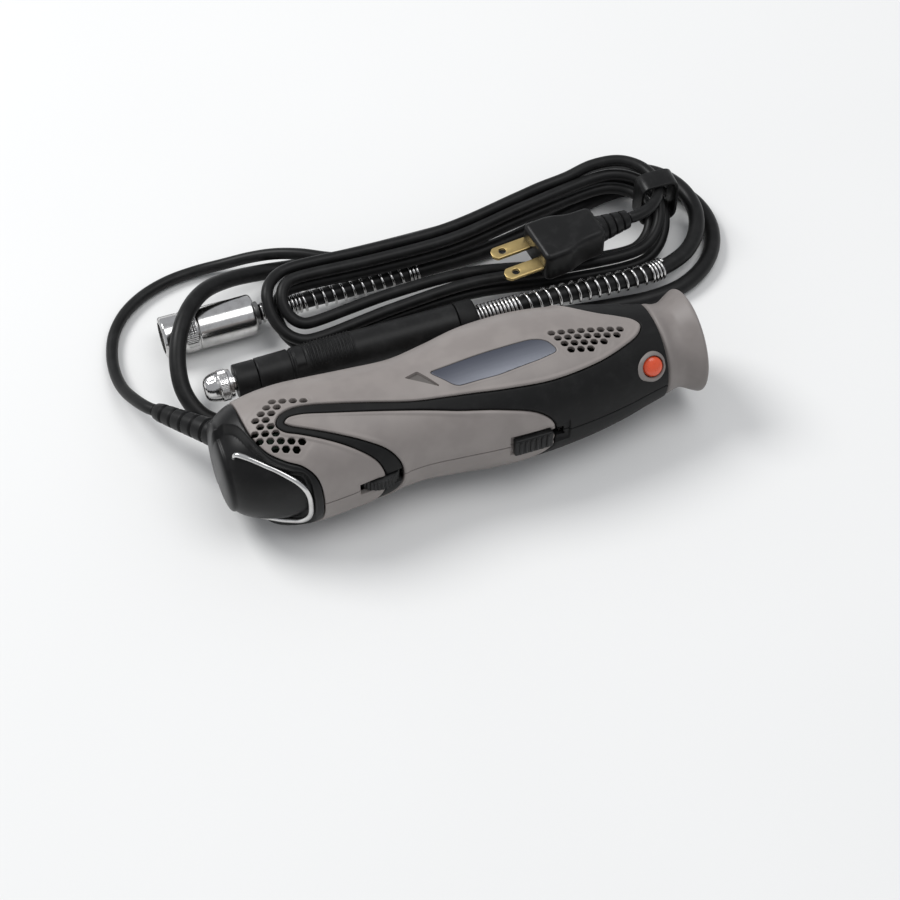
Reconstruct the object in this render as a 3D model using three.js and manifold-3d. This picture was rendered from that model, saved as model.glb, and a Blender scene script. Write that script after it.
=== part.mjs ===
// Rotary tool lying on its right side, with its power cord folded in a hank,
// and the flexible shaft that goes with it laid out behind it.
// Millimetres. +X runs along the tool's spindle to its nose, +Y away from the
// viewer (the tool's underside), +Z up (the tool's left side); z = 0 is the table.

import * as THREE from 'three';
import Module from 'manifold-3d';

const wasm = await Module();
wasm.setup();

// Materials.
const material = (color, roughness, metalness = 0) =>
  new THREE.MeshStandardMaterial({ color, roughness, metalness });
const greyShell = material(0xa39c98, 0.45);
const greyTrim = material(0x8f8a88, 0.4);
const blackRubber = material(0x222224, 0.7);
const blackPlastic = material(0x1b1b1d, 0.5);
const redPlastic = material(0xd8432a, 0.35);
const filmSilver = material(0xaab2bd, 0.3, 0.4);
const brightSteel = material(0xc8c8c6, 0.22, 1);
const darkSteel = material(0x7d7d7d, 0.4, 1);
const laminations = material(0x5a5450, 0.6, 0.7);
const copper = material(0xb4683a, 0.35, 1);
const carbon = material(0x2b2b2b, 0.85);
const brass = material(0xb8963e, 0.35, 1);
const boardGreen = material(0x2d5f3a, 0.6);

const parts = new THREE.Group();
parts.name = 'rotary_tool_with_flex_shaft';
const add = (name, geometry, look) => {
  const mesh = new THREE.Mesh(geometry, look);
  mesh.name = name;
  parts.add(mesh);
};

// Shared values.
const meshGap = 0.3; // between pieces that touch on the real product
const overrun = 5; // how far a cutter reaches past what it cuts
const weld = 1e-4; // corners closer than this are one
const slack = 0.04; // slivers flatter than this are taken out of a cut solid
const roundSides = 20;
const midSides = 14;
const smallSides = 10;

// Helpers.
const solidOf = (geometry) => {
  const flat = geometry.index ? geometry.toNonIndexed() : geometry;
  const position = flat.getAttribute('position');
  const places = new Map();
  const corners = [];
  const faces = [];
  for (let i = 0; i < position.count; i += 1) {
    const point = [position.getX(i), position.getY(i), position.getZ(i)];
    const key = point.map((value) => Math.round(value / weld)).join(' ');
    if (!places.has(key)) {
      places.set(key, corners.length / point.length);
      corners.push(...point);
    }
    faces.push(places.get(key));
  }
  const kept = [];
  for (let i = 0; i < faces.length; i += 3) {
    const [a, b, c] = faces.slice(i, i + 3);
    if (a !== b && b !== c && c !== a) kept.push(a, b, c);
  }
  return new wasm.Manifold(new wasm.Mesh({
    numProp: 3,
    vertProperties: new Float32Array(corners),
    triVerts: new Uint32Array(kept),
  }));
};

const geometryOf = (solid) => {
  const { vertProperties, triVerts, numProp } = solid.simplify(slack).getMesh();
  const corners = [];
  for (let i = 0; i < vertProperties.length; i += numProp) {
    corners.push(vertProperties[i], vertProperties[i + 1], vertProperties[i + 2]);
  }
  const geometry = new THREE.BufferGeometry();
  geometry.setAttribute('position', new THREE.Float32BufferAttribute(corners, 3));
  geometry.setIndex(Array.from(triVerts));
  const open = geometry.toNonIndexed();
  open.computeVertexNormals();
  return open;
};

const joined = (solids) => solids.reduce((whole, one) => whole.add(one));
const cutBy = (solid, cutters) => cutters.reduce((whole, one) => whole.subtract(one), solid);

const outlineOf = (points) => new THREE.Shape(points.map(([x, y]) => new THREE.Vector2(x, y)));

// An outline in X and Y, drawn out along Z between two heights.
const prism = (points, from, to) => {
  const geometry = new THREE.ExtrudeGeometry(outlineOf(points), {
    depth: to - from, bevelEnabled: false, steps: 1,
  });
  geometry.translate(0, 0, from);
  return solidOf(geometry);
};

// A box from its two corners.
const block = (low, high) => {
  const size = high.map((value, i) => value - low[i]);
  const geometry = new THREE.BoxGeometry(...size);
  geometry.translate(...low.map((value, i) => value + size[i] / 2));
  return solidOf(geometry);
};

// A profile of [x, radius] corners turned about an axis along X.
const turned = (profile, [y, z] = [0, 0], sides = roundSides) => {
  const points = profile.map(([x, radius]) => new THREE.Vector2(radius, x));
  const geometry = new THREE.LatheGeometry(points, sides);
  geometry.rotateZ(-Math.PI / 2);
  geometry.translate(0, y, z);
  return geometry;
};
const turnedSolid = (profile, place, sides) => solidOf(turned(profile, place, sides));

const rod = (from, to, radius) => [[from, 0], [from, radius], [to, radius], [to, 0]];
const ring = (from, to, bore, radius) =>
  [[from, bore], [from, radius], [to, radius], [to, bore], [from, bore]];

// A rod along any of the three axes, as a solid.
const pin = (middle, direction, length, radius, sides = smallSides) => {
  const geometry = new THREE.CylinderGeometry(radius, radius, length, sides);
  const turn = new THREE.Quaternion().setFromUnitVectors(
    new THREE.Vector3(0, 1, 0), new THREE.Vector3(...direction).normalize());
  geometry.applyQuaternion(turn);
  geometry.translate(...middle);
  return solidOf(geometry);
};

// The corners of a closed outline moved inwards, for the gap round an inlay.
const insetOutline = (points, distance) => {
  const area = points.reduce((sum, [x, y], i) => {
    const [nextX, nextY] = points[(i + 1) % points.length];
    return sum + x * nextY - nextX * y;
  }, 0);
  const side = Math.sign(area) * distance;
  return points.map(([x, y], i) => {
    const [x0, y0] = points[(i + points.length - 1) % points.length];
    const [x1, y1] = points[(i + 1) % points.length];
    const before = new THREE.Vector2(x - x0, y - y0).normalize();
    const after = new THREE.Vector2(x1 - x, y1 - y).normalize();
    const normal = new THREE.Vector2(-before.y - after.y, before.x + after.x).normalize();
    const stretch = 1 / Math.max(0.5, normal.dot(new THREE.Vector2(-before.y, before.x)));
    return [x + normal.x * side * stretch, y + normal.y * side * stretch];
  });
};

const curveThrough = (points) => new THREE.CatmullRomCurve3(
  points.map((point) => new THREE.Vector3(...point)), false, 'centripetal');

const circleShape = (radius, sides) => {
  const corner = (k) => [
    radius * Math.cos(2 * Math.PI * k / sides), radius * Math.sin(2 * Math.PI * k / sides)];
  return outlineOf(Array.from({ length: sides }, (_, k) => corner(k)));
};

// A plain round tube along a curve.
const tubeAlong = (curve, radius, sides, steps) => new THREE.ExtrudeGeometry(
  circleShape(radius, sides), { steps, bevelEnabled: false, extrudePath: curve });

// A closed tube through rings of its own, for wound and ribbed forms: each centre has
// its radius, and the rings are carried along without twist.
const woundTube = (centres, radii, sides) => {
  const corners = [];
  const faces = [];
  const last = centres.length - 1;
  const tangents = centres.map((_, i) => new THREE.Vector3().subVectors(
    centres[Math.min(i + 1, last)], centres[Math.max(i - 1, 0)]).normalize());
  let across = new THREE.Vector3(0, 0, 1);
  if (Math.abs(tangents[0].z) > 0.9) across = new THREE.Vector3(0, 1, 0);
  centres.forEach((centre, i) => {
    across.addScaledVector(tangents[i], -across.dot(tangents[i])).normalize();
    const upright = new THREE.Vector3().crossVectors(tangents[i], across);
    for (let k = 0; k < sides; k += 1) {
      const angle = 2 * Math.PI * k / sides;
      const corner = centre.clone()
        .addScaledVector(across, radii[i] * Math.cos(angle))
        .addScaledVector(upright, radii[i] * Math.sin(angle));
      corners.push(corner.x, corner.y, corner.z);
    }
  });
  for (let i = 0; i < last; i += 1) {
    for (let k = 0; k < sides; k += 1) {
      const a = i * sides + k;
      const b = i * sides + ((k + 1) % sides);
      faces.push(a, b, a + sides, b, b + sides, a + sides);
    }
  }
  for (let k = 1; k < sides - 1; k += 1) {
    faces.push(0, k + 1, k, last * sides, last * sides + k, last * sides + k + 1);
  }
  const geometry = new THREE.BufferGeometry();
  geometry.setAttribute('position', new THREE.Float32BufferAttribute(corners, 3));
  geometry.setIndex(faces);
  geometry.computeVertexNormals();
  return geometry;
};

// The least gap between stretches of one wound tube that aren't next to each other.
const leastGap = (centres, diameter) => {
  const along = [0];
  centres.forEach((centre, i) => {
    if (i > 0) along.push(along[i - 1] + centre.distanceTo(centres[i - 1]));
  });
  let least = Infinity;
  for (let i = 0; i < centres.length - 1; i += 1) {
    for (let j = i + 2; j < centres.length - 1; j += 1) {
      if (along[j] - along[i + 1] < 2 * diameter) continue;
      const one = new THREE.Line3(centres[i], centres[i + 1]);
      const other = new THREE.Line3(centres[j], centres[j + 1]);
      for (const [point, line] of [[one.start, other], [one.end, other],
        [other.start, one], [other.end, one]]) {
        const near = line.closestPointToPoint(point, true, new THREE.Vector3());
        least = Math.min(least, near.distanceTo(point) - diameter);
      }
    }
  }
  return least;
};

const smooth = (share) => {
  const held = Math.min(1, Math.max(0, share));
  return held * held * (3 - 2 * held);
};

// Tool housing.
const bodyLength = 182;
const tailShare = 0.67033; // of the length, from the tail's end to the middle of the belly
const bodyTail = -tailShare * bodyLength;
const bodyNose = bodyTail + bodyLength;
const bodyRadius = 30;
const wall = 2.4;
const seam = meshGap;
const skinDepth = 1.5; // of the black overmould
const sectionPower = 2.2; // 2 is an ellipse, more is squarer

// Shares of the body's length, then of its radius at the underside, the top and the sides.
const profileShares = [
  [0, 0.42, 0.46, 0.44], [0.016, 0.60, 0.66, 0.63], [0.05, 0.735, 0.81, 0.78],
  [0.1, 0.80, 0.91, 0.875], [0.165, 0.825, 0.97, 0.917], [0.23, 0.81, 0.96, 0.905],
  [0.33, 0.785, 0.89, 0.85], [0.423, 0.775, 0.83, 0.81], [0.505, 0.86, 0.86, 0.85],
  [0.588, 0.97, 0.905, 0.90], [0.67, 1.0, 0.925, 0.917], [0.736, 0.98, 0.91, 0.905],
  [0.824, 0.89, 0.86, 0.85], [0.901, 0.775, 0.78, 0.77], [0.956, 0.69, 0.70, 0.69],
  [1, 0.63, 0.64, 0.63],
];
const widestShare = 0.917;
const axisHeight = widestShare * bodyRadius; // the body's sides reach the table
const axisPlace = [0, axisHeight];

const bodyRadiiAt = (x) => {
  const share = Math.min(1, Math.max(0, (x - bodyTail) / bodyLength));
  const last = profileShares.length - 2;
  let i = 0;
  while (i < last && profileShares[i + 1][0] < share) i += 1;
  const rows = [i - 1, i, i + 1, i + 2].map(
    (row) => profileShares[Math.min(last + 1, Math.max(0, row))]);
  const span = rows[2][0] - rows[1][0];
  const t = (share - rows[1][0]) / span;
  return [1, 2, 3].map((column) => {
    const slope = (from, to) => (to[0] > from[0]
      ? (to[column] - from[column]) / (to[0] - from[0]) * span : 0);
    const start = slope(rows[0], rows[2]);
    const end = slope(rows[1], rows[3]);
    const a = rows[1][column];
    const b = rows[2][column];
    return bodyRadius * (a + t * (start + t * (3 * (b - a) - 2 * start - end
      + t * (2 * (a - b) + start + end))));
  });
};

// The body, or a smaller copy of it inside, from one x to another.
const bodyLoft = (inset, from, to, sides, steps) => {
  const corners = [];
  const faces = [];
  for (let i = 0; i <= steps; i += 1) {
    const ease = 0.5 - 0.5 * Math.cos(Math.PI * i / steps);
    const x = from + (to - from) * (0.35 * ease + 0.65 * i / steps);
    const [under, top, side] = bodyRadiiAt(x).map((radius) => radius - inset);
    for (let k = 0; k < sides; k += 1) {
      const angle = 2 * Math.PI * k / sides;
      const [c, s] = [Math.cos(angle), Math.sin(angle)];
      const bend = (value) => Math.sign(value) * Math.abs(value) ** (2 / sectionPower);
      corners.push(x, (c > 0 ? under : top) * bend(c), axisHeight + side * bend(s));
    }
  }
  for (let i = 0; i < steps; i += 1) {
    for (let k = 0; k < sides; k += 1) {
      const a = i * sides + k;
      const b = i * sides + ((k + 1) % sides);
      faces.push(a, b, a + sides, b, b + sides, a + sides);
    }
  }
  const end = steps * sides;
  for (let k = 1; k < sides - 1; k += 1) {
    faces.push(0, k + 1, k, end, end + k, end + k + 1);
  }
  const geometry = new THREE.BufferGeometry();
  geometry.setAttribute('position', new THREE.Float32BufferAttribute(corners, 3));
  geometry.setIndex(faces);
  return solidOf(geometry);
};

const bodySides = 20;
const bodySteps = 14;
const cavitySides = 10;
const cavitySteps = 7;
const envelope = bodyLoft(0, bodyTail, bodyNose, bodySides, bodySteps);
const skinFloor = bodyLoft(
  skinDepth, bodyTail - overrun, bodyNose + overrun, bodySides, bodySteps);
const skinSeat = bodyLoft(
  skinDepth - meshGap, bodyTail - overrun, bodyNose + overrun, bodySides, bodySteps);
const farOut = bodyRadius + overrun;

// Outlines seen from above, in shares of the body's length and radius, from the belly's
// middle at x = 0 and from the spindle's axis.
const fromShares = (shares) => shares.map(([x, y]) => [x * bodyLength, y * bodyRadius]);
const leaf = (shares, steps) => {
  const curve = new THREE.SplineCurve(
    shares.map(([x, y]) => new THREE.Vector2(x * bodyLength, y * bodyRadius)));
  return curve.getPoints(steps).map(({ x, y }) => [x, y]);
};

// The black grip: a thin stripe round the tail end of the grey tongue, widening to the
// whole nose, with the grey label panel's leaf-shaped tip let into it.
const grooveInnerShares = [
  [0.08, -1.1], [0.055, -0.93], [0.016, -0.84], [-0.06, -0.735], [-0.154, -0.60],
  [-0.242, -0.443], [-0.341, -0.325], [-0.42, -0.235], [-0.484, -0.155], [-0.511, -0.158],
  [-0.520, -0.215], [-0.508, -0.285], [-0.484, -0.36], [-0.418, -0.53], [-0.363, -0.66],
  [-0.319, -0.77], [-0.28, -0.92], [-0.255, -1.1],
];
const grooveOuterShares = [
  [-0.31, -1.1], [-0.322, -0.96], [-0.345, -0.845], [-0.385, -0.725], [-0.43, -0.60],
  [-0.498, -0.415], [-0.527, -0.325], [-0.538, -0.215], [-0.528, -0.10], [-0.505, -0.04],
  [-0.475, -0.035], [-0.395, -0.125], [-0.313, -0.235], [-0.242, -0.33], [-0.148, -0.44],
  [-0.05, -0.545], [0.055, -0.59], [0.165, -0.50], [0.231, -0.365], [0.28, -0.20],
  [0.296, -0.05], [0.285, 0.06], [0.255, 0.15], [0.215, 0.26], [0.175, 0.45],
  [0.145, 0.72], [0.13, 1.1],
];
const gripSteps = 14;
const gripOutline = [
  ...leaf(grooveInnerShares, gripSteps), ...leaf(grooveOuterShares, gripSteps),
  [bodyNose + overrun, farOut], [bodyNose + overrun, -farOut],
];

// The tail cap: all round the tail's end, and forward along the top.
const capEdgeShares = [
  [-0.612, 1.1], [-0.607, 0.75], [-0.603, 0.40], [-0.600, 0.05], [-0.592, -0.25],
  [-0.572, -0.50], [-0.54, -0.66], [-0.508, -0.76], [-0.482, -0.90], [-0.472, -1.1],
];
const capSteps = 8;
const capOutline = [
  ...leaf(capEdgeShares, capSteps),
  [bodyTail - overrun, -farOut], [bodyTail - overrun, farOut],
];
const capGap = meshGap / 2;

const leftHalf = block(
  [bodyTail - farOut, -farOut, axisHeight + seam / 2],
  [bodyNose + farOut, farOut, axisHeight + farOut]);
const rightHalf = block(
  [bodyTail - farOut, -farOut, axisHeight - farOut],
  [bodyNose + farOut, farOut, axisHeight - seam / 2]);
const lowest = axisHeight - farOut;
const highest = axisHeight + farOut;

// Spindle and motor.
const shaftRadius = 3;
const frontBearing = { from: bodyNose - 22, length: 7, radius: 11, bore: 4 };
const rearBearing = { from: bodyTail + 0.2363 * bodyLength, length: 6, radius: 8, bore: 3 };
const motor = {
  from: rearBearing.from + 0.2033 * bodyLength, length: 0.1978 * bodyLength,
  radius: 0.6333 * bodyRadius, yoke: 0.52 * bodyRadius, bore: 0.4467 * bodyRadius,
};
const armatureGap = 0.6;
const commutator = { from: motor.from - 16, length: 9, radius: 7 };
const fan = {
  from: frontBearing.from - 26, length: 8, radius: motor.radius,
  hub: 6, blades: 8, blade: 1.2, plate: 1.4,
};

// The cap that screws on the nose, and the nut inside it that closes the collet.
const collar = {
  from: bodyNose + 0.5, length: 16.5, back: 18.9, waist: 17.8, rim: 21.4, bore: 15.2,
};
const collarEnd = collar.from + collar.length;
const spigot = { radius: 16.4, bore: 13.6, length: 8 };
const colletNut = { from: bodyNose + 2, length: 12.5, radius: 6.6, tip: 4.4 };
const collet = { length: 16, radius: 2.4, bore: 1.6, proud: 1.2 };

const bearingGroove = 0.7; // the shields lie this far in from the rings' faces
const addBearing = (name, { from, length, radius, bore }, place) => {
  const inner = bore + meshGap;
  const step = (radius - inner) / 3;
  const to = from + length;
  add(name, turned([
    [from, inner], [from + bearingGroove, inner + step], [from + bearingGroove, radius - step],
    [from, radius], [to, radius], [to - bearingGroove, radius - step],
    [to - bearingGroove, inner + step], [to, inner], [from, inner],
  ], place, smallSides + 2), darkSteel);
};

// Lock button on the nose.
const lockAngle = Math.PI * 35 / 180; // above the top's ridge, towards the left side
const lockX = bodyNose - 6.8;
const lockRadius = 4.2;
const lockOut = 21.3; // its face, from the spindle's axis
const lockLength = 8;
const lockTravel = 2;
const lockStemRadius = 1.8;
const lockCollar = { radius: 5.6, from: bodyNose - 10.5, to: bodyNose - 3 };
const lockDirection = [0, -Math.cos(lockAngle), Math.sin(lockAngle)];
const lockAt = (distance) => [
  lockX, lockDirection[1] * distance, axisHeight + lockDirection[2] * distance];
const bezel = { back: -6.1, front: 5.7, peak: 7.4, half: 5.4, from: 17.2, to: 20.6 };

// An outline drawn out along the lock button's axis: its x runs along the tool.
const lockPrism = (points, from, to) => {
  const geometry = new THREE.ExtrudeGeometry(outlineOf(points), {
    depth: to - from, bevelEnabled: false, steps: 1,
  });
  geometry.translate(0, 0, from);
  const out = new THREE.Vector3(...lockDirection);
  const along = new THREE.Vector3(1, 0, 0);
  const over = new THREE.Vector3().crossVectors(out, along);
  const turn = new THREE.Matrix4().makeBasis(along, over, out);
  geometry.applyMatrix4(turn);
  geometry.translate(lockX, 0, axisHeight);
  return solidOf(geometry);
};
const bezelOutline = (grow) => [
  [bezel.back - grow, 0], [0, bezel.peak + grow], [bezel.front + grow, bezel.half + grow],
  [bezel.front + grow, -bezel.half - grow], [0, -bezel.peak - grow],
];

// Switch and speed dial.
const slider = {
  from: motor.from + 33, length: 16, width: 9, stem: 4.4, height: 2.9, travel: 7,
};
const sliderWell = { end: 2, margin: 1, depth: 1.35 };
sliderWell.floor = bodyRadiiAt(slider.from)[1] - sliderWell.depth;
const dial = {
  x: bodyTail + 59, radius: 9.2, width: 5, bore: 1.6, proud: 1.85, teeth: 18, tooth: 0.7,
};
const dialSlot = 0.8; // clearance each side of the wheel
const dialY = dial.radius - dial.proud - bodyRadiiAt(dial.x)[1];

// Hexagonal vents.
const hexPitch = 4.3;
const hexRadius = 1.75;
const hexSides = 6;
const hexRow = hexPitch * Math.sqrt(3) / 2;
const hexHole = ([x, y], from, to) => prism(
  Array.from({ length: hexSides }, (_, k) => {
    const angle = Math.PI * (k + 0.5) / 3;
    return [x + hexRadius * Math.cos(angle), y + hexRadius * Math.sin(angle)];
  }), from, to);

// Tail vents: rows of holes bent in a C round the tongue's end.
const tailVentMiddle = [-0.47 * bodyLength, -0.215 * bodyRadius];
const tailVentRows = [
  { radiusShare: 0.407, holes: 7, half: 1.65 }, { radiusShare: 0.547, holes: 8, half: 1.35 },
];
const tailVentStretch = 1.12; // along the body, and its share across the body
const tailVentShare = 0.8;
const tailVents = tailVentRows.flatMap(({ radiusShare, holes, half }) => Array.from(
  { length: holes }, (_, k) => {
    const radius = radiusShare * bodyRadius;
    const angle = Math.PI + half * (2 * k / (holes - 1) - 1);
    return [
      tailVentMiddle[0] + radius * tailVentStretch * Math.cos(angle),
      tailVentMiddle[1] + radius * tailVentShare * Math.sin(angle)];
  }));

// Nose vents: a triangle of rows between the label and the panel's tip.
const noseVentStart = [0.105 * bodyLength, 0.06 * bodyRadius];
const noseVentRows = [6, 5, 3, 1];
const noseVents = noseVentRows.flatMap((holes, row) => Array.from(
  { length: holes }, (_, k) => [
    noseVentStart[0] + (k + row / 2) * hexPitch, noseVentStart[1] - row * hexRow]));

// Label film and notch.
const labelShares = [
  [-0.192, 0.0], [-0.145, -0.335], [-0.05, -0.365], [0.045, -0.315], [0.092, -0.255],
  [0.075, -0.05], [0.045, 0.02], [-0.07, 0.015],
];
const labelDepth = 0.5;
const labelOutline = fromShares(labelShares);
const notchShares = [[-0.24, 0.03], [-0.212, 0.05], [-0.18, -0.25]];
const notchDepth = 1;
const labelSeat = bodyLoft(
  labelDepth, bodyTail - overrun, bodyNose + overrun, bodySides, bodySteps);
const notchFloor = bodyLoft(
  notchDepth, bodyTail - overrun, bodyNose + overrun, bodySides, bodySteps);

// Hanging bail.
const bail = {
  wire: 1.1, pivot: [bodyTail + 0.0467 * bodyLength, -0.2667 * bodyRadius],
  crown: [bodyTail + 0.1582 * bodyLength, -0.9 * bodyRadius], side: 0.7067 * bodyRadius,
};
const bailReach = Math.hypot(bail.crown[0] - bail.pivot[0], bail.crown[1] - bail.pivot[1]);
const bailAim = [
  (bail.crown[0] - bail.pivot[0]) / bailReach, (bail.crown[1] - bail.pivot[1]) / bailReach];
// Shares of its reach from the pivot, and of its half width.
const bailShares = [
  [0, 0.73], [0, 0.92], [0.045, 1], [0.28, 1.035], [0.52, 0.965], [0.73, 0.81],
  [0.88, 0.60], [0.965, 0.36], [0.995, 0.12],
];
const bailSide = bailShares.map(([out, over]) => new THREE.Vector3(
  bail.pivot[0] + bailAim[0] * bailReach * out, bail.pivot[1] + bailAim[1] * bailReach * out,
  axisHeight + bail.side * over));
const bailLine = [...bailSide, ...bailSide.toReversed().map(
  ({ x, y, z }) => new THREE.Vector3(x, y, 2 * axisHeight - z))];
const bailTube = (radius, sides) => woundTube(bailLine, bailLine.map(() => radius), sides);
const bailRecess = 4;
const bailFloor = bodyLoft(
  bailRecess, bodyTail - overrun, bodyNose + overrun, bodySides, bodySteps);
const recessEdgeShares = [
  [-0.64, 0.15], [-0.618, 0.0], [-0.598, -0.33], [-0.573, -0.60], [-0.536, -0.765],
  [-0.507, -0.85], [-0.495, -1.1],
];
const recessOutline = [
  ...leaf(recessEdgeShares, capSteps),
  [bodyTail - overrun, -farOut], [bodyTail - overrun, 0.15 * bodyRadius],
];

// Strain relief.
const relief = { base: 6.4, end: 3.7, ribs: 8, groove: 1.1 };
const reliefLine = [
  [bodyTail + 16.5, 3, axisHeight], [-112, 12, 27.2], [-119, 21.5, 25.4], [-127.5, 33.5, 21.4],
  [-135, 45, 17]];

// Housing pieces.
const bulkhead = { front: [frontBearing.from, frontBearing.length],
  rear: [rearBearing.from, rearBearing.length] };
const ribWidth = 3;
// The speed control's board hangs from a rib of the left shell.
const board = {
  from: bodyTail + 18, to: bodyTail + 39,
  low: -0.433 * bodyRadius, high: 0.367 * bodyRadius, height: 0.307 * bodyRadius, thick: 1.6,
};
const boardTop = axisHeight + board.height + board.thick;
const slab = (from, to, bore) => block(
  [from, -farOut, lowest], [to, farOut, highest]).subtract(
  turnedSolid(rod(from - overrun, to + overrun, bore + meshGap), axisPlace, roundSides));
const ribs = [
  slab(bulkhead.front[0], bulkhead.front[0] + bulkhead.front[1], frontBearing.radius),
  slab(bulkhead.rear[0], bulkhead.rear[0] + bulkhead.rear[1], rearBearing.radius),
  slab(motor.from, motor.from + ribWidth, motor.radius),
  slab(motor.from + motor.length - ribWidth, motor.from + motor.length, motor.radius),
  block([board.to - ribWidth, board.low, boardTop + meshGap], [board.to, board.high, highest]),
];
const cavityFrom = bodyTail + 2 * wall;
const cavityTo = bodyNose - 2 * wall;
const cavity = cutBy(bodyLoft(wall, cavityFrom, cavityTo, cavitySides, cavitySteps), ribs);
const noseBore = turnedSolid(
  rod(cavityTo - overrun, bodyNose + overrun, spigot.bore - wall), axisPlace, roundSides);
const noseSpigot = turnedSolid(
  ring(bodyNose - overrun, bodyNose + spigot.length, spigot.bore - wall, spigot.bore),
  axisPlace, roundSides);

const gripCut = prism(gripOutline, lowest, highest).subtract(skinFloor);
const capCut = prism(capOutline, lowest, highest);
const lockHole = pin(lockAt(lockOut - lockLength / 2), lockDirection,
  lockLength + 2 * overrun, lockRadius + meshGap);
const bezelCut = lockPrism(bezelOutline(meshGap), bezel.from - meshGap, lockOut + overrun);
const sliderSlot = block(
  [slider.from - sliderWell.end, -farOut, axisHeight - slider.stem / 2 - meshGap],
  [slider.from + slider.length + slider.travel, 0, axisHeight + slider.stem / 2 + meshGap]);
const sliderPocket = block(
  [slider.from - sliderWell.margin, -farOut, axisHeight - slider.width / 2 - sliderWell.margin],
  [slider.from + slider.length + slider.travel + sliderWell.margin, -sliderWell.floor,
    axisHeight + slider.width / 2 + sliderWell.margin]);
const dialCut = block(
  [dial.x - dial.radius - dialSlot, -farOut, axisHeight - dial.width / 2 - dialSlot],
  [dial.x + dial.radius + dialSlot, dialY + dial.radius / 2,
    axisHeight + dial.width / 2 + dialSlot]);
const reliefHole = solidOf(tubeAlong(
  curveThrough(reliefLine.slice(0, 3)), relief.base + meshGap, smallSides, 4));

const ventHoles = (from, to) => [...tailVents, ...noseVents].map(
  (place) => hexHole(place, from, to));
const housing = cutBy(envelope.add(noseSpigot), [
  cavity, noseBore, gripCut, capCut, sliderSlot, sliderPocket, dialCut, reliefHole,
]);
const labelCut = prism(labelOutline, axisHeight, highest).subtract(labelSeat);
const notchCut = prism(fromShares(notchShares), axisHeight, highest).subtract(notchFloor);
const leftShell = cutBy(housing.intersect(leftHalf), [
  lockHole, bezelCut, labelCut, notchCut, ...ventHoles(axisHeight + wall, highest)]);
const rightShell = cutBy(housing.intersect(rightHalf), [
  ...ventHoles(lowest, axisHeight - wall)]);
add('left_shell', geometryOf(leftShell), greyShell);
add('right_shell', geometryOf(rightShell), greyShell);

const skin = cutBy(envelope, [skinSeat, dialCut, sliderSlot, sliderPocket]).intersect(
  prism(insetOutline(gripOutline, meshGap), lowest, highest));
add('left_grip', geometryOf(cutBy(skin.intersect(leftHalf), [lockHole, bezelCut])), blackRubber);
add('right_grip', geometryOf(skin.intersect(rightHalf)), blackRubber);

add('label_film', geometryOf(envelope.subtract(bodyLoft(
  labelDepth - meshGap, bodyTail - overrun, bodyNose + overrun, bodySides, bodySteps))
  .intersect(prism(insetOutline(labelOutline, meshGap), axisHeight, highest))), filmSilver);

const capOuter = envelope.intersect(prism(insetOutline(capOutline, capGap), lowest, highest));
const capWall = bailRecess + wall;
const bailHoles = pin([...bail.pivot, axisHeight], [0, 0, 1], 2 * bodyRadius,
  bail.wire + meshGap);
const tailCap = cutBy(capOuter, [
  bodyLoft(capWall, bodyTail + capWall, bodyNose, cavitySides, cavitySteps),
  prism(recessOutline, lowest, highest).subtract(bailFloor), bailHoles, reliefHole,
  solidOf(bailTube(bail.wire + 2 * meshGap, 5)),
]);
add('tail_cap', geometryOf(tailCap), blackRubber);

// The nose collar, flared to its rim, open in front round the collet nut.
const collarLip = 1.1;
const collarSides = 20;
add('nose_collar', turned([
  [collar.from, spigot.bore + meshGap], [collar.from, collar.back - collarLip],
  [collar.from + collarLip, collar.back],
  [collar.from + collar.length * 0.3, collar.waist], [collar.from + collar.length * 0.5, collar.waist],
  [collar.from + collar.length * 0.75, (collar.waist + collar.rim) / 2 + 0.4],
  [collarEnd - collarLip, collar.rim], [collarEnd, collar.rim - collarLip],
  [collarEnd, collar.rim - 2 * wall], [collarEnd - 2 * wall, collar.bore],
  [collar.from + spigot.length, collar.bore], [collar.from + spigot.length, spigot.bore + meshGap],
  [collar.from, spigot.bore + meshGap],
], axisPlace, collarSides), greyTrim);

// Lock button and the hood round it.
const buttonDome = 0.8;
const button = pin(lockAt(lockOut - lockLength / 2 - buttonDome / 2), lockDirection,
  lockLength - buttonDome, lockRadius, 16)
  .add(pin(lockAt(lockOut - buttonDome / 2 - weld), lockDirection, buttonDome,
    lockRadius - buttonDome, 16))
  .add(pin(lockAt((lockCollar.radius + lockTravel + meshGap + lockOut - lockLength) / 2),
    lockDirection, lockOut - lockLength - lockCollar.radius - lockTravel - meshGap + 2 * weld,
    lockStemRadius, 8));
add('lock_button', geometryOf(button), redPlastic);
add('lock_bezel', geometryOf(lockPrism(bezelOutline(0), bezel.from, bezel.to)
  .subtract(lockHole)), greyTrim);

// Speed dial: a knurled thumbwheel that stands out of a slot in the top's ridge.
const dialCorner = (k) => {
  const radius = dial.radius - (k % 2 ? dial.tooth : 0);
  const angle = Math.PI * k / dial.teeth;
  return [dial.x + radius * Math.cos(angle), dialY + radius * Math.sin(angle)];
};
add('speed_dial', geometryOf(prism(
  Array.from({ length: 2 * dial.teeth }, (_, k) => dialCorner(k)),
  axisHeight - dial.width / 2, axisHeight + dial.width / 2).subtract(
  pin([dial.x, dialY, axisHeight], [0, 0, 1], dial.width + 2 * overrun, dial.bore))),
blackPlastic);
const pot = { half: 5, below: 1.6, above: 6.9, thick: 5 };
const potFrom = axisHeight + dial.width / 2 + meshGap;
add('speed_pot', geometryOf(block(
  [dial.x - pot.half, dialY - pot.below, potFrom],
  [dial.x + pot.half, dialY + pot.above, potFrom + pot.thick])
  .add(pin([dial.x, dialY, axisHeight + pot.thick / 2], [0, 0, 1],
    dial.width + pot.thick, dial.bore - meshGap))), blackPlastic);

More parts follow.
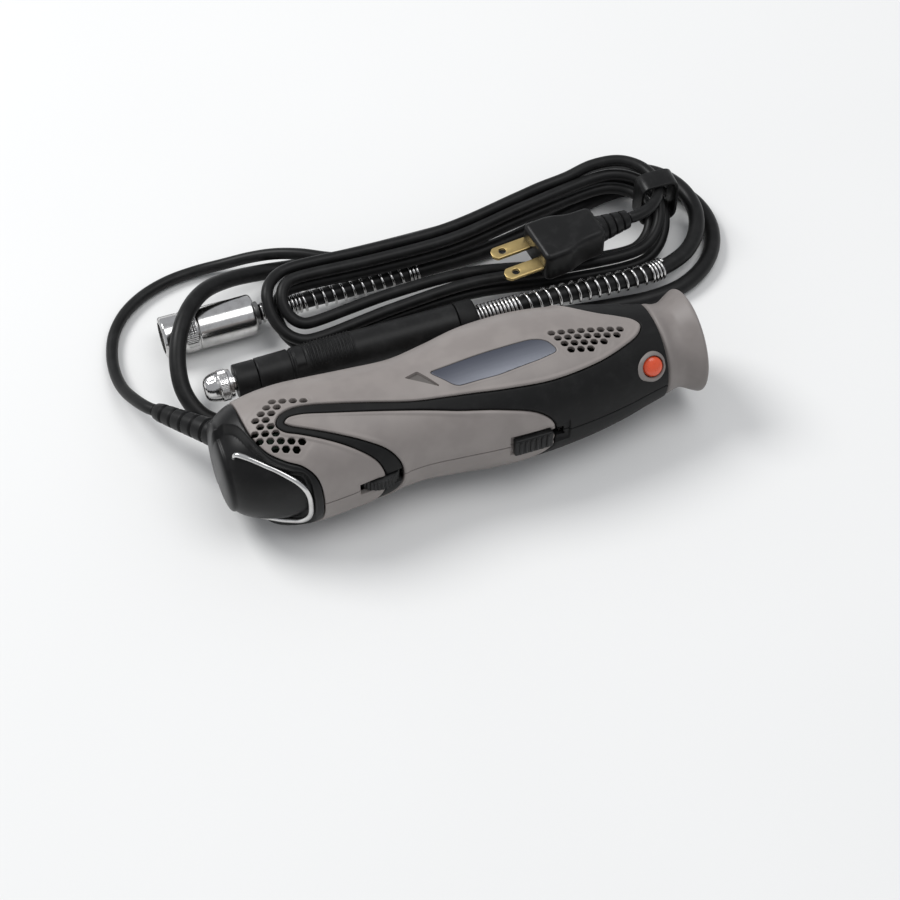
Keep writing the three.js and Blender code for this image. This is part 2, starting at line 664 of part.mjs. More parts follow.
// Slide switch on the same ridge: its stem runs in a slot down to the switch inside.
const sliderTop = -(sliderWell.floor + meshGap + slider.height);
const sliderFoot = -(sliderWell.floor + meshGap);
const switchTop = -(sliderWell.floor - 3.1);
const switchBody = {
  from: motor.from + motor.length + meshGap, length: 17, width: 9, thick: 3.2,
};
const gripRibs = 5;
const gripRib = { width: 1, height: 0.6 };
const sliderRibs = Array.from({ length: gripRibs }, (_, k) => {
  const middle = slider.from + slider.length * (k + 1) / (gripRibs + 1);
  return block(
    [middle - gripRib.width / 2, sliderTop - gripRib.height, axisHeight - slider.width / 2],
    [middle + gripRib.width / 2, sliderTop + weld, axisHeight + slider.width / 2]);
});
add('switch_slider', geometryOf(joined([
  block([slider.from, sliderTop, axisHeight - slider.width / 2],
    [slider.from + slider.length, sliderFoot, axisHeight + slider.width / 2]),
  block([slider.from, sliderFoot - weld, axisHeight - slider.stem / 2],
    [slider.from + slider.length - slider.stem, switchTop - meshGap,
      axisHeight + slider.stem / 2]), ...sliderRibs])), blackPlastic);
add('switch_body', geometryOf(block(
  [switchBody.from, switchTop, axisHeight - switchBody.width / 2],
  [switchBody.from + switchBody.length, switchTop + switchBody.thick, axisHeight + switchBody.width / 2])),
blackPlastic);

// Hanging bail: a wire folded forward over the top, its ends turned into the tail cap.
add('hanging_bail', bailTube(bail.wire, 8), brightSteel);

// Nose collar's inside: spindle, lock collar, collet and nut.
const noseThread = 4.2;
const spindleFrom = rearBearing.from - 1;
const spindleTo = colletNut.from + colletNut.length / 2;
const lockNotch = pin(lockAt(lockCollar.radius), lockDirection, 2 * lockTravel,
  lockStemRadius + meshGap);
const colletSeat = turnedSolid(
  rod(spindleTo - collet.length / 2, spindleTo + overrun, collet.radius + meshGap), axisPlace,
  smallSides);
add('spindle', geometryOf(cutBy(turnedSolid([
  [spindleFrom, 0], [spindleFrom, shaftRadius], [frontBearing.from - 2, shaftRadius],
  [frontBearing.from - 1, frontBearing.bore], [lockCollar.from, frontBearing.bore],
  [lockCollar.from, lockCollar.radius], [lockCollar.to, lockCollar.radius],
  [lockCollar.to, noseThread], [spindleTo, noseThread], [spindleTo, 0],
], axisPlace, smallSides), [lockNotch, colletSeat])), brightSteel);
add('collet', geometryOf(turnedSolid(ring(
  spindleTo - collet.length / 2 + meshGap, colletNut.from + colletNut.length + collet.proud,
  collet.bore, collet.radius), axisPlace, smallSides)), brightSteel);
const nutShoulder = 4;
add('collet_nut', geometryOf(pin(
  [colletNut.from + (colletNut.length - nutShoulder) / 2, 0, axisHeight], [1, 0, 0],
  colletNut.length - nutShoulder, colletNut.radius, hexSides).add(turnedSolid([
  [colletNut.from + colletNut.length - nutShoulder - weld, 0],
  [colletNut.from + colletNut.length - nutShoulder - weld, colletNut.radius * 0.86],
  [colletNut.from + colletNut.length, colletNut.tip],
  [colletNut.from + colletNut.length, 0]], axisPlace, smallSides)).subtract(joined([
  turnedSolid(rod(colletNut.from - overrun, spindleTo + meshGap, noseThread + meshGap),
    axisPlace, smallSides),
  turnedSolid(rod(colletNut.from, collarEnd + overrun, collet.radius + meshGap),
    axisPlace, smallSides)]))), darkSteel);
addBearing('front_bearing', frontBearing, axisPlace);
addBearing('rear_bearing', rearBearing, axisPlace);

// Motor: wound stator, armature on the shaft, commutator with its brushes, and the fan.
const motorEnd = motor.from + motor.length;
const poleHalf = 8;
const motorRing = (from, to, bore, radius) => turnedSolid(
  ring(from, to, bore, radius), axisPlace, roundSides);
const between = (half) => block(
  [motor.from - farOut, -half, lowest], [motorEnd + farOut, half, highest]);
add('stator', geometryOf(motorRing(motor.from, motorEnd, motor.yoke, motor.radius).add(
  motorRing(motor.from, motorEnd, motor.bore, motor.yoke + weld).subtract(between(poleHalf)))),
laminations);
const coilProud = 2.6;
const coils = motorRing(motor.from - coilProud, motorEnd + coilProud, motor.bore,
  motor.yoke - meshGap).intersect(between(poleHalf - meshGap));
add('left_field_coil', geometryOf(coils.intersect(leftHalf)), copper);
add('right_field_coil', geometryOf(coils.intersect(rightHalf)), copper);
const coreRadius = motor.bore - armatureGap;
const shaftBore = shaftRadius + meshGap;
const armatureInset = 1;
add('armature_core', turned(ring(motor.from + armatureInset, motorEnd - armatureInset,
  shaftBore, coreRadius), axisPlace), laminations);
const winding = { length: 5.5, radius: 0.85 * motor.bore, end: 0.64 * motor.bore };
const windingFrom = (face, way) => [
  [0, shaftBore], [0, winding.radius], [winding.length / 2, winding.radius],
  [winding.length, winding.end], [winding.length, shaftBore], [0, shaftBore],
].map(([out, radius]) => [face + way * out, radius]);
add('rear_winding', turned(
  windingFrom(motor.from + armatureInset - meshGap, -1).toReversed(), axisPlace, midSides), copper);
add('front_winding', turned(
  windingFrom(motorEnd - armatureInset + meshGap, 1), axisPlace, midSides), copper);
add('commutator', turned(ring(commutator.from, commutator.from + commutator.length,
  shaftBore, commutator.radius), axisPlace, midSides), copper);

const fanEnd = fan.from + fan.length;
const fanBlades = Array.from({ length: fan.blades }, (_, k) => {
  const blade = block(
    [fan.from + fan.plate - weld, fan.hub - 1, axisHeight - fan.blade / 2],
    [fanEnd, fan.radius, axisHeight + fan.blade / 2]);
  const turn = new THREE.Matrix4().makeTranslation(0, 0, axisHeight)
    .multiply(new THREE.Matrix4().makeRotationX(2 * Math.PI * k / fan.blades))
    .multiply(new THREE.Matrix4().makeTranslation(0, 0, -axisHeight));
  return blade.transform(turn.toArray());
});
add('fan', geometryOf(joined([
  turnedSolid(ring(fan.from, fanEnd, shaftBore, fan.hub), axisPlace, smallSides),
  turnedSolid(ring(fan.from, fan.from + fan.plate, fan.hub - 1, fan.radius), axisPlace,
    roundSides), ...fanBlades])), blackPlastic);

const brush = { half: 2.4, from: commutator.radius + meshGap, to: 0.567 * bodyRadius };
const holder = { wall: 1.2, from: brush.from + 2.2, to: brush.to + 3 };
const brushMiddle = commutator.from + commutator.length / 2;
const brushBox = (way, half, from, to) => block(
  [brushMiddle - half, -half, axisHeight + (way > 0 ? from : -to)],
  [brushMiddle + half, half, axisHeight + (way > 0 ? to : -from)]);
Object.entries({ left: 1, right: -1 }).forEach(([side, way]) => {
  add(`${side}_brush`, geometryOf(brushBox(way, brush.half, brush.from, brush.to)), carbon);
  add(`${side}_brush_holder`, geometryOf(brushBox(
    way, brush.half + meshGap + holder.wall, holder.from, holder.to).subtract(brushBox(
    way, brush.half + meshGap, holder.from - overrun, holder.to - holder.wall))), brass);
});

const capacitor = { length: 14, width: 7, height: 7 };
add('speed_board', geometryOf(joined([
  block([board.from, board.low, boardTop - board.thick], [board.to, board.high, boardTop]),
  block([board.from + wall, board.low + wall, boardTop - weld],
    [board.from + wall + capacitor.length, board.low + wall + capacitor.width,
      boardTop + capacitor.height]),
  block([board.from + wall, board.high - wall - capacitor.width, boardTop - weld],
    [board.from + wall + capacitor.width, board.high - wall, boardTop + wall])])), boardGreen);

const ribSides = 8;
// Strain relief: a ribbed taper that leaves the tail cap towards the underside.
const ribbed = (curve, ribCount, base, end, groove, sides) => {
  const ringShares = [0, 0.55, 0.72]; // a rib's two edges, then the floor of its groove
  const centres = [];
  const radii = [];
  for (let rib = 0; rib < ribCount; rib += 1) {
    ringShares.forEach((share, k) => {
      const along = (rib + share) / ribCount;
      centres.push(curve.getPointAt(along));
      radii.push(base + (end - base) * along - (k > 1 ? groove : 0));
    });
  }
  centres.push(curve.getPointAt(1));
  radii.push(end - groove);
  return woundTube(centres, radii, sides);
};
const reliefCurve = curveThrough(reliefLine);
add('strain_relief', ribbed(
  reliefCurve, relief.ribs, relief.base, relief.end, relief.groove, ribSides), blackRubber);

// Flexible shaft: its route.
const sheathRadius = 3.5;
const sheathSides = 8;
const sheathSteps = 64;
const low = sheathRadius; // its middle where it lies on the table
const hand = { nut: -114, rear: 3, radius: 8, y: 50, z: 2 * sheathRadius + 8 + meshGap };
const couple = { from: -122, length: 40, radius: 8.8, y: 88 };
couple.z = couple.radius;
couple.end = couple.from + couple.length;
couple.hose = couple.end + 2.3; // where the sheath meets the ferrule
const over = 2 * couple.radius + sheathRadius + 2 * meshGap; // its middle across the nut
const spring = { wire: 0.5 };
const curlSteps = 7;
spring.radius = (sheathRadius + spring.wire + meshGap) / Math.cos(Math.PI / curlSteps);
const springOut = spring.radius + spring.wire;

const sheathRoute = [
  [hand.rear + meshGap, hand.y, hand.z], [14, hand.y, hand.z], [36, 50.2, 14.6],
  [58, 50.6, 12.6], [76, 51.6, 10.6], [90, 53.6, 9.6],
  // the inner loop at the right, over the outer one, then the far band
  [102.5, 58.5, 9.8], [111, 67, 10.6], [115.5, 79, 11.4], [114.5, 92, 11.8],
  [108, 103.5, 11.6], [97, 111.5, 9.8], [83, 114.8, 7.2], [68, 114, 5.2], [52, 111.6, 3.9],
  [34, 110.2, low], [2, 109.6, low], [-26, 109.8, low], [-44, 110.4, 3.7],
  // the left loop, over the coupling nut and round the handpiece's tip
  [-58, 110.8, 4.9], [-73, 109.4, 8.6], [-88, 105, 14.4], [-100, 97.8, 19.6],
  [-109, 88.4, over], [-116, 77.5, 20.6], [-120.5, 65.5, 15.8], [-121, 54.5, 10.6],
  [-116.5, 44.6, 6.2], [-107, 38.4, 4], [-94, 37.6, low], [-80, 40.6, low],
  [-64, 45.6, low], [-48, 49, low], [-32, hand.y, low], [-8, hand.y, low], [18, hand.y, low],
  [42, 48.2, low], [64, 45.4, low], [82, 44, low],
  // the outer loop at the right, and back to the coupling
  [97, 46.4, low], [109.5, 53.4, low], [118.2, 64, low], [122, 77, low], [120.2, 91, low],
  [112.6, 101.8, low], [101, 106.8, low], [86.5, 107.2, low], [71, 104, low],
  [54, 99.4, low], [34, 94.8, 3.8], [16, 91.8, 4.6], [0, 90.8, 5.4], [-20, 90, 5.9],
  [-42, 89.2, 7], [-62, 88.4, 8.3], [-74, couple.y, couple.z],
  [couple.hose, couple.y, couple.z],
];
const sheathCurve = curveThrough(sheathRoute);
sheathCurve.arcLengthDivisions = 2000;
const sheathLength = sheathCurve.getLength();
console.log('sheath length', sheathLength.toFixed(1));
add('flex_sheath', tubeAlong(sheathCurve, sheathRadius, sheathSides, sheathSteps), blackRubber);

// A spring wound round the sheath: runs of curls, each with its own pitch.
const wireSides = 4;
const wound = (from, way, runs) => {
  const centres = [];
  let along = from;
  let turn = 0;
  runs.forEach(([curls, pitch]) => {
    for (let step = 0; step < curls * curlSteps; step += 1) {
      const share = along / sheathLength;
      const centre = sheathCurve.getPointAt(share);
      const tangent = sheathCurve.getTangentAt(share);
      const up = new THREE.Vector3(0, 0, 1).addScaledVector(tangent, -tangent.z).normalize();
      const side = new THREE.Vector3().crossVectors(tangent, up);
      const angle = 2 * Math.PI * turn / curlSteps;
      centres.push(centre.addScaledVector(up, spring.radius * Math.cos(angle))
        .addScaledVector(side, spring.radius * Math.sin(angle)));
      along += way * pitch / curlSteps;
      turn += 1;
    }
  });
  console.log('spring ends at', along.toFixed(1), 'least gap',
    leastGap(centres, 2 * spring.wire).toFixed(2));
  return woundTube(centres, centres.map(() => spring.wire), wireSides);
};
const closePitch = 1.62;
const widePitch = 4.4;
const springStart = 0.6;
add('front_spring', wound(springStart, 1, [[11, closePitch], [14, widePitch], [4, closePitch]]),
  brightSteel);
add('rear_spring', wound(sheathLength - springStart, -1,
  [[11, closePitch], [11, widePitch], [3, closePitch]]), brightSteel);

// Handpiece.
const handPlace = [hand.y, hand.z];
const handLength = hand.rear - hand.nut;
const handBore = 5.6;
const handRing = { length: 8, radius: 8 };
const handGrip = { from: hand.nut + 13.4, to: hand.rear - handRing.length - meshGap };
const handSides = 14;
const capNose = { length: 9, radius: 7.2 };
const gripGroove = { from: 24.5, width: 2.2, depth: 0.8 };
const grooveFrom = handGrip.from + gripGroove.from;
const grooveTo = grooveFrom + gripGroove.width;
const rearRadius = 7.4;
const handRibs = { count: 11, from: grooveTo + 6, pitch: 2, depth: 0.6 };
const gripBody = turnedSolid([
  [handGrip.from + capNose.length + meshGap, handBore],
  [handGrip.from + capNose.length + meshGap, capNose.radius + 0.3 * gripGroove.depth],
  [grooveFrom, hand.radius - meshGap], [grooveFrom, hand.radius - gripGroove.depth],
  [grooveTo, hand.radius - gripGroove.depth], [grooveTo, hand.radius],
  [handRibs.from + handRibs.count * handRibs.pitch, hand.radius], [handGrip.to - wall, rearRadius],
  [handGrip.to, rearRadius - meshGap], [handGrip.to, handBore],
  [handGrip.from + capNose.length + meshGap, handBore],
], handPlace, handSides);
const ribCuts = Array.from({ length: handRibs.count }, (_, k) => {
  const from = handRibs.from + k * handRibs.pitch;
  return turnedSolid(ring(from, from + handRibs.pitch / 2, hand.radius - handRibs.depth,
    hand.radius + overrun), handPlace, handSides).intersect(block(
    [from - overrun, hand.y - farOut, hand.z + 2 * handRibs.depth],
    [from + overrun, hand.y + farOut, hand.z + farOut]));
});
add('hand_grip', geometryOf(gripBody.subtract(joined(ribCuts))), blackPlastic);
const handShaft = 2.2;
const handNeck = 3.4;
const bearing = { length: 5, radius: handBore - meshGap, bore: handShaft };
add('hand_front_cap', turned([
  [handGrip.from, handNeck + meshGap], [handGrip.from, capNose.radius - 2.2],
  [handGrip.from + 1, capNose.radius - 0.7], [handGrip.from + 3, capNose.radius],
  [handGrip.from + capNose.length, capNose.radius + 0.3 * gripGroove.depth],
  [handGrip.from + capNose.length, handBore], [handGrip.from + wall, handBore],
  [handGrip.from + wall, handNeck + meshGap], [handGrip.from, handNeck + meshGap],
], handPlace, handSides), blackPlastic);
add('hand_rear_ring', turned([
  [hand.rear - handRing.length, handShaft + meshGap],
  [hand.rear - handRing.length, rearRadius - meshGap],
  [hand.rear - handRing.length + 1, handRing.radius], [hand.rear - wall, handRing.radius],
  [hand.rear, handRing.radius - 1], [hand.rear, handShaft + meshGap],
  [hand.rear - handRing.length, handShaft + meshGap],
], handPlace, handSides), blackRubber);
addBearing('hand_front_bearing',
  { from: handGrip.from + capNose.length + wall, ...bearing }, handPlace);
addBearing('hand_rear_bearing',
  { from: handGrip.to - bearing.length - wall, ...bearing }, handPlace);
const handNut = { length: 12, radius: 6.2, bore: 1.6 };
const handNutEnd = hand.nut + handNut.length;
const chuckThread = 3;
add('hand_spindle', turned([
  [hand.nut + handNut.length / 2, 0], [hand.nut + handNut.length / 2, chuckThread],
  [handNutEnd, chuckThread], [handNutEnd + meshGap, handNeck],
  [handGrip.from + wall - meshGap, handNeck], [handGrip.from + wall - meshGap + 1, handShaft],
  [hand.rear - meshGap, handShaft], [hand.rear - meshGap, 0],
], handPlace, smallSides), brightSteel);
// The chuck nut: rounded, its knurled band a little proud. Shares of its length and radius.
const chuckShares = [
  [0, 0.42], [0.03, 0.60], [0.14, 0.80], [0.34, 0.96], [0.50, 1], [0.52, 1.04],
  [0.84, 1.04], [0.86, 0.98], [1, 0.86],
];
add('hand_nut', turned([
  [hand.nut, handNut.bore],
  ...chuckShares.map(([x, r]) => [hand.nut + handNut.length * x, handNut.radius * r]),
  [handNutEnd, chuckThread + meshGap],
  [hand.nut + handNut.length / 2 - meshGap, chuckThread + meshGap],
  [hand.nut + handNut.length / 2 - meshGap, handNut.bore], [hand.nut, handNut.bore],
], handPlace, midSides), brightSteel);

// Coupling end.
const couplePlace = [couple.y, couple.z];
const ferrule = { radius: 5, flange: 6.4, flangeLength: 2.4 };
const core = { radius: 2, tip: couple.from + 9.5 };
const shoulder = couple.from + couple.length * 0.62;
const thread = ferrule.flange + meshGap;
const nutChamfer = 1;
// Shares of the nut's length and radius, from its open end.
const nutShares = [
  [0.025, 1], [0.19, 1], [0.205, 0.95], [0.37, 0.95], [0.385, 1], [0.96, 1],
];
add('coupling_nut', turned([
  [couple.from, thread], [couple.from, couple.radius - nutChamfer],
  ...nutShares.map(([x, r]) => [couple.from + couple.length * x, couple.radius * r]),
  [couple.end, couple.radius - nutChamfer], [couple.end, ferrule.radius + meshGap],
  [shoulder, ferrule.radius + meshGap], [shoulder, thread], [couple.from, thread],
], couplePlace), brightSteel);
const flangeFrom = shoulder - meshGap - ferrule.flangeLength;
add('coupling_ferrule', turned([
  [flangeFrom, core.radius + meshGap], [flangeFrom, ferrule.flange],
  [shoulder - meshGap, ferrule.flange], [shoulder - meshGap, ferrule.radius],
  [couple.hose - meshGap, ferrule.radius], [couple.hose - meshGap, core.radius + meshGap],
  [flangeFrom, core.radius + meshGap],
], couplePlace, midSides), darkSteel);
add('drive_core', turned(rod(core.tip, couple.hose - 2 * meshGap, core.radius), couplePlace, 6),
  darkSteel);

// Power cord: its hank.
const cordRadius = 2.5;
const cordPitch = 6.1; // between neighbouring runs
const cordLayer = 6.8; // between layers, which lie on a slope
const lobes = { left: [-62, 78.5], leftRadius: 17, right: [80, 85], rightRadius: 24 };
const waist = { x: 2, half: 70, draw: 5.4 };
const hank = { start: 1 / 24, end: 3 + 3.3 / 24, turnBack: 1.585 };
const climb = { from: 1.5, to: 1.667 };
const loopSteps = 24;
const runSteps = 4;
const arcSteps = 8;
// The hank lies on the table at its near side and on the rear spring at its far side.
const ground = {
  near: cordRadius + meshGap, from: 58, to: 88, far: 13.5, rise: 3.6, riseFrom: 10, riseOver: 90,
};
const groundAt = (x, y) => {
  const share = smooth((y - ground.from) / (ground.to - ground.from));
  const rise = ground.rise * smooth((ground.riseFrom - x) / ground.riseOver);
  return ground.near + share * (ground.far + rise - ground.near);
};
const tilt = Math.asin((lobes.rightRadius - lobes.leftRadius)
  / Math.hypot(lobes.right[0] - lobes.left[0], lobes.right[1] - lobes.left[1]));
const aim = Math.atan2(lobes.right[1] - lobes.left[1], lobes.right[0] - lobes.left[0]);
const upperAngle = aim + Math.PI / 2 + tilt;
const lowerAngle = aim - Math.PI / 2 - tilt;
const onLobe = ([x, y], radius, angle) => [
  x + radius * Math.cos(angle), y + radius * Math.sin(angle)];
const hankPlace = (loops) => {
  const inset = cordPitch * (hank.turnBack - hank.start - Math.abs(loops - hank.turnBack));
  const [left, right] = [lobes.leftRadius - inset, lobes.rightRadius - inset];
  const step = (loops - Math.floor(loops)) * loopSteps;
  const mix = (from, to, share) => from.map((value, i) => value + (to[i] - value) * share);
  let place;
  let side = 0;
  if (step < runSteps) {
    place = mix(onLobe(lobes.left, left, upperAngle), onLobe(lobes.right, right, upperAngle),
      step / runSteps);
    side = 1;
  } else if (step < runSteps + arcSteps) {
    place = onLobe(lobes.right, right, upperAngle
      + (lowerAngle - upperAngle) * (step - runSteps) / arcSteps);
  } else if (step < 2 * runSteps + arcSteps) {
    place = mix(onLobe(lobes.right, right, lowerAngle), onLobe(lobes.left, left, lowerAngle),
      (step - runSteps - arcSteps) / runSteps);
    side = -1;
  } else {
    place = onLobe(lobes.left, left, lowerAngle - (2 * Math.PI - (upperAngle - lowerAngle))
      * (step - 2 * runSteps - arcSteps) / arcSteps);
  }
  const [x, y] = place;
  const drawn = waist.draw * smooth(1 - Math.abs(x - waist.x) / waist.half);
  const layer = cordLayer * smooth((loops - climb.from) / (climb.to - climb.from));
  const laid = y - side * drawn;
  return new THREE.Vector3(x, laid, groundAt(x, laid) + layer);
};
const hankLine = [];
for (let step = hank.start * loopSteps; step < hank.end * loopSteps - weld; step += 1) {
  hankLine.push(hankPlace(step / loopSteps));
}
hankLine.push(hankPlace(hank.end));
console.log('hank least gap', leastGap(hankLine, 2 * cordRadius).toFixed(2));
add('cord_hank', woundTube(hankLine, hankLine.map(() => cordRadius), 6), blackRubber);

// The stretch from the strain relief round the left end and over the shaft to the hank.
const cordSides = 8;
const stepAlong = (from, to, length) => from.clone().add(
  new THREE.Vector3().subVectors(to, from).setLength(length));
const reliefTip = new THREE.Vector3(...reliefLine.at(-1));
const leadStart = stepAlong(reliefTip, new THREE.Vector3(...reliefLine.at(-2)), -meshGap);
const leadOut = stepAlong(leadStart, reliefTip, -2 * cordRadius);
const hankStart = stepAlong(hankLine[0], hankLine[1], -meshGap);
const leadIn = stepAlong(hankStart, hankLine[1], -2 * cordRadius);
const leadRoute = [
  leadStart.toArray(), leadOut.toArray(), [-141.2, 58, 11.6], [-143.8, 68, 7.6],
  [-144.6, 79, 4.6], [-143.4, 90.5, 3], [-139.6, 102, 2.6], [-132.6, 111.6, 2.6],
  [-122.6, 118.8, 2.6], [-110.6, 123.2, 2.6], [-98, 124.6, 2.8], [-86, 122.8, 4.8],
  [-75, 119.3, 8.6], [-65, 114.6, 12.2], [-55, 108.9, 14.4], [-44, 102, 15.2],
  leadIn.toArray(), hankStart.toArray(),
];
const leadCurve = curveThrough(leadRoute);
add('cord_lead', tubeAlong(leadCurve, cordRadius, cordSides, 20), blackRubber);

// The last stretch: over the hank's right end to the plug, which lies on the hank.
const plug = {
  tail: [80, 71, 26.2], tilt: Math.PI * 6.4 / 180, length: 30, relief: 15,
  front: 23, back: 17, thick: 15, corner: 3,
};
const plugAim = new THREE.Vector3(-Math.cos(plug.tilt), -Math.sin(plug.tilt), 0);
const plugTail = new THREE.Vector3(...plug.tail);
const tailEnd = plugTail.clone().addScaledVector(plugAim, -meshGap);
const tailOut = plugTail.clone().addScaledVector(plugAim, -2 * cordRadius);
const hankEnd = stepAlong(hankLine.at(-1), hankLine.at(-2), -meshGap);
const tailIn = stepAlong(hankEnd, hankLine.at(-2), -2 * cordRadius);
const tailRoute = [
  hankEnd.toArray(), tailIn.toArray(), [66, 106.6, 21.4], [78, 107.2, 24.2], [89.4, 104.2, 26],
  [96.8, 97.4, 26.2], [99.4, 88.6, 26.2], [97.2, 79.8, 26.2], [91, 73.8, 26.2],
  tailOut.toArray(), tailEnd.toArray(),
];
const tailCurve = curveThrough(tailRoute);
add('cord_tail', tubeAlong(tailCurve, cordRadius, cordSides, 10), blackRubber);

const lineLength = (line) => line.reduce(
  (sum, point, i) => sum + (i ? point.distanceTo(line[i - 1]) : 0), 0);
console.log('cord length', (leadCurve.getLength() + tailCurve.getLength()
  + lineLength(hankLine)).toFixed(0));

// Plug, made along +X from its tail and then turned to its place.
const toPlug = (geometry) => geometry
  .rotateZ(Math.PI + plug.tilt).translate(...plug.tail);
const plugBody = (() => {
  const [half, rear, r] = [plug.front / 2, plug.back / 2, plug.corner];
  const [from, to] = [plug.relief, plug.relief + plug.length];
  const outline = [
    [from, rear - r], [from + r, rear], [from + plug.length / 3, rear],
    [from + plug.length / 2, half], [to - r, half], [to, half - r]];
  const mirrored = outline.toReversed().map(([x, y]) => [x, -y]);
  const geometry = new THREE.ExtrudeGeometry(outlineOf([...outline, ...mirrored]), {
    depth: plug.thick - 2 * r / 2, steps: 1, bevelThickness: r / 2, bevelSize: r / 2,
    bevelOffset: -r / 2, bevelSegments: 1,
  });
  geometry.translate(0, 0, -plug.thick / 2 + r / 2);
  return geometry;
})();
const plugRibs = { count: 4, base: 5.6, end: 3.7, groove: 1 };
const plugTaper = ribbed(new THREE.LineCurve3(
  new THREE.Vector3(plug.relief + plug.corner, 0, 0), new THREE.Vector3(0, 0, 0)),
plugRibs.count, plugRibs.base, plugRibs.end, plugRibs.groove, ribSides);
const blade = { length: 17, width: 6.35, thick: 1.5, apart: 12.7, hole: 1.6, holeFrom: 12 };
const plugFace = plug.relief + plug.length;
const bladeSlot = (y, grow, from, to) => block(
  [from, y - blade.thick / 2 - grow, -blade.width / 2 - grow],
  [to, y + blade.thick / 2 + grow, blade.width / 2 + grow]);
const bladeRoot = 6;
const bladePlaces = { near: blade.apart / 2, far: -blade.apart / 2 };
add('plug_body', toPlug(geometryOf(cutBy(solidOf(plugBody).add(solidOf(plugTaper)),
  Object.values(bladePlaces).map((y) => bladeSlot(y, meshGap,
    plugFace - bladeRoot - meshGap, plugFace + overrun))))), blackRubber);
Object.entries(bladePlaces).forEach(([side, y]) => {
  add(`plug_blade_${side}`, toPlug(geometryOf(bladeSlot(
    y, 0, plugFace - bladeRoot, plugFace + blade.length).subtract(
    pin([plugFace + blade.holeFrom, y, 0], [0, 1, 0], blade.apart / 2, blade.hole, 8)))), brass);
});

// Tie strap round the hank's right end.
const strap = { from: 80.5, width: 9, thick: 1.2, corner: 4 };
const strapIn = {
  left: lobes.right[0] + lobes.rightRadius - 12.5, right: lobes.right[0] + lobes.rightRadius + 2.4,
  low: 8.5, high: 29.4,
};
const rounded = (grow) => {
  const [l, r] = [strapIn.left - grow, strapIn.right + grow];
  const [b, t] = [strapIn.low - grow, strapIn.high + grow];
  const c = strap.corner + grow;
  const bevel = c * (1 - Math.SQRT1_2);
  return [[l, b + c], [l + bevel, b + bevel], [l + c, b], [r - c, b], [r - bevel, b + bevel],
    [r, b + c], [r, t - c], [r - bevel, t - bevel], [r - c, t], [l + c, t],
    [l + bevel, t - bevel], [l, t - c]];
};
const strapShape = outlineOf(rounded(strap.thick));
strapShape.holes.push(outlineOf(rounded(0)));
const strapGeometry = new THREE.ExtrudeGeometry(strapShape, {
  depth: strap.width, bevelEnabled: false, steps: 1,
});
strapGeometry.rotateX(Math.PI / 2);
strapGeometry.translate(0, strap.from + strap.width, 0);
add('cord_strap', strapGeometry, blackPlastic);

// The origin is on the table, below the middle of everything but the cord and the shaft.
const onCords = /^(cord|plug|flex|front_spring|rear_spring|strain)/;
const frameBox = new THREE.Box3();
parts.children.filter(({ name }) => !onCords.test(name)).forEach(
  (mesh) => frameBox.expandByObject(mesh));
const origin = frameBox.getCenter(new THREE.Vector3()).setZ(frameBox.min.z);
parts.position.copy(origin).negate();
console.log('origin', origin.toArray().map((value) => value.toFixed(2)).join(' '));
export default parts;
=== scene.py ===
"""Rotary tool lying on its side, its cord in a hank, and the flexible shaft laid behind it."""
import math

import bmesh
import bpy
import numpy as np
from mathutils import Matrix, Vector


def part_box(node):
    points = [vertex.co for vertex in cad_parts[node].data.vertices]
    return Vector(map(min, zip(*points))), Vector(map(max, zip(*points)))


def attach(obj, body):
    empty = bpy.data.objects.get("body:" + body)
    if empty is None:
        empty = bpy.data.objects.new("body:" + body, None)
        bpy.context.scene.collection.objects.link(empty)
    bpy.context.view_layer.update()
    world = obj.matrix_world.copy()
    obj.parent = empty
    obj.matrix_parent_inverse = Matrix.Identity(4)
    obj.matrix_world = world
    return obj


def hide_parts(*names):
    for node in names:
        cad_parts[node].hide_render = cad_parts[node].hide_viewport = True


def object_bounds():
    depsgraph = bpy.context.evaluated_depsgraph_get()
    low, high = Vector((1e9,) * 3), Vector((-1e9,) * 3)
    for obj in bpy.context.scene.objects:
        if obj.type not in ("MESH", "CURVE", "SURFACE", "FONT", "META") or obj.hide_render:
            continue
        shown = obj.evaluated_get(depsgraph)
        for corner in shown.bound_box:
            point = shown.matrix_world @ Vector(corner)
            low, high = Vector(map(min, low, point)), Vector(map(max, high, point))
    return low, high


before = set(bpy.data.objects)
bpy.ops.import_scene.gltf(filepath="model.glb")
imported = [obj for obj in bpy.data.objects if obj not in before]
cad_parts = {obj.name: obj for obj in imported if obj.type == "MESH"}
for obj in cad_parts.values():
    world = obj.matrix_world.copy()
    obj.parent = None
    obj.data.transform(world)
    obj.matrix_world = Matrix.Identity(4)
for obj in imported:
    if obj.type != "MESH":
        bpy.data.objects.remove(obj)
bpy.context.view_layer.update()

# The frame's origin in the drawing's own millimetres: x from the belly's middle, y from
# the spindle's axis, z from the table.
ORIGIN = Vector((-22.50, 33.428, -0.045))
MM = 0.001


def placed(points):
    """Drawing millimetres to the frame's metres."""
    return (np.asarray(points, dtype=float) - np.array(ORIGIN)) * MM


# Camera: the photograph's view.
CAMERA_PLACE = (-206.5, -507.8, 713.8)
VIEW_AZIMUTH = math.radians(-19.6)
VIEW_ELEVATION = math.radians(53)
LENS = 88.0
SENSOR = 36.0


def add_camera():
    data = bpy.data.cameras.new("camera")
    data.sensor_width = SENSOR
    data.lens = LENS
    camera = bpy.data.objects.new("camera", data)
    bpy.context.scene.collection.objects.link(camera)
    turn = Matrix.Rotation(VIEW_AZIMUTH, 4, "Z") @ Matrix.Rotation(math.pi / 2 - VIEW_ELEVATION, 4, "X")
    camera.matrix_world = Matrix.Translation(placed(CAMERA_PLACE)) @ turn
    bpy.context.scene.camera = camera


add_camera()


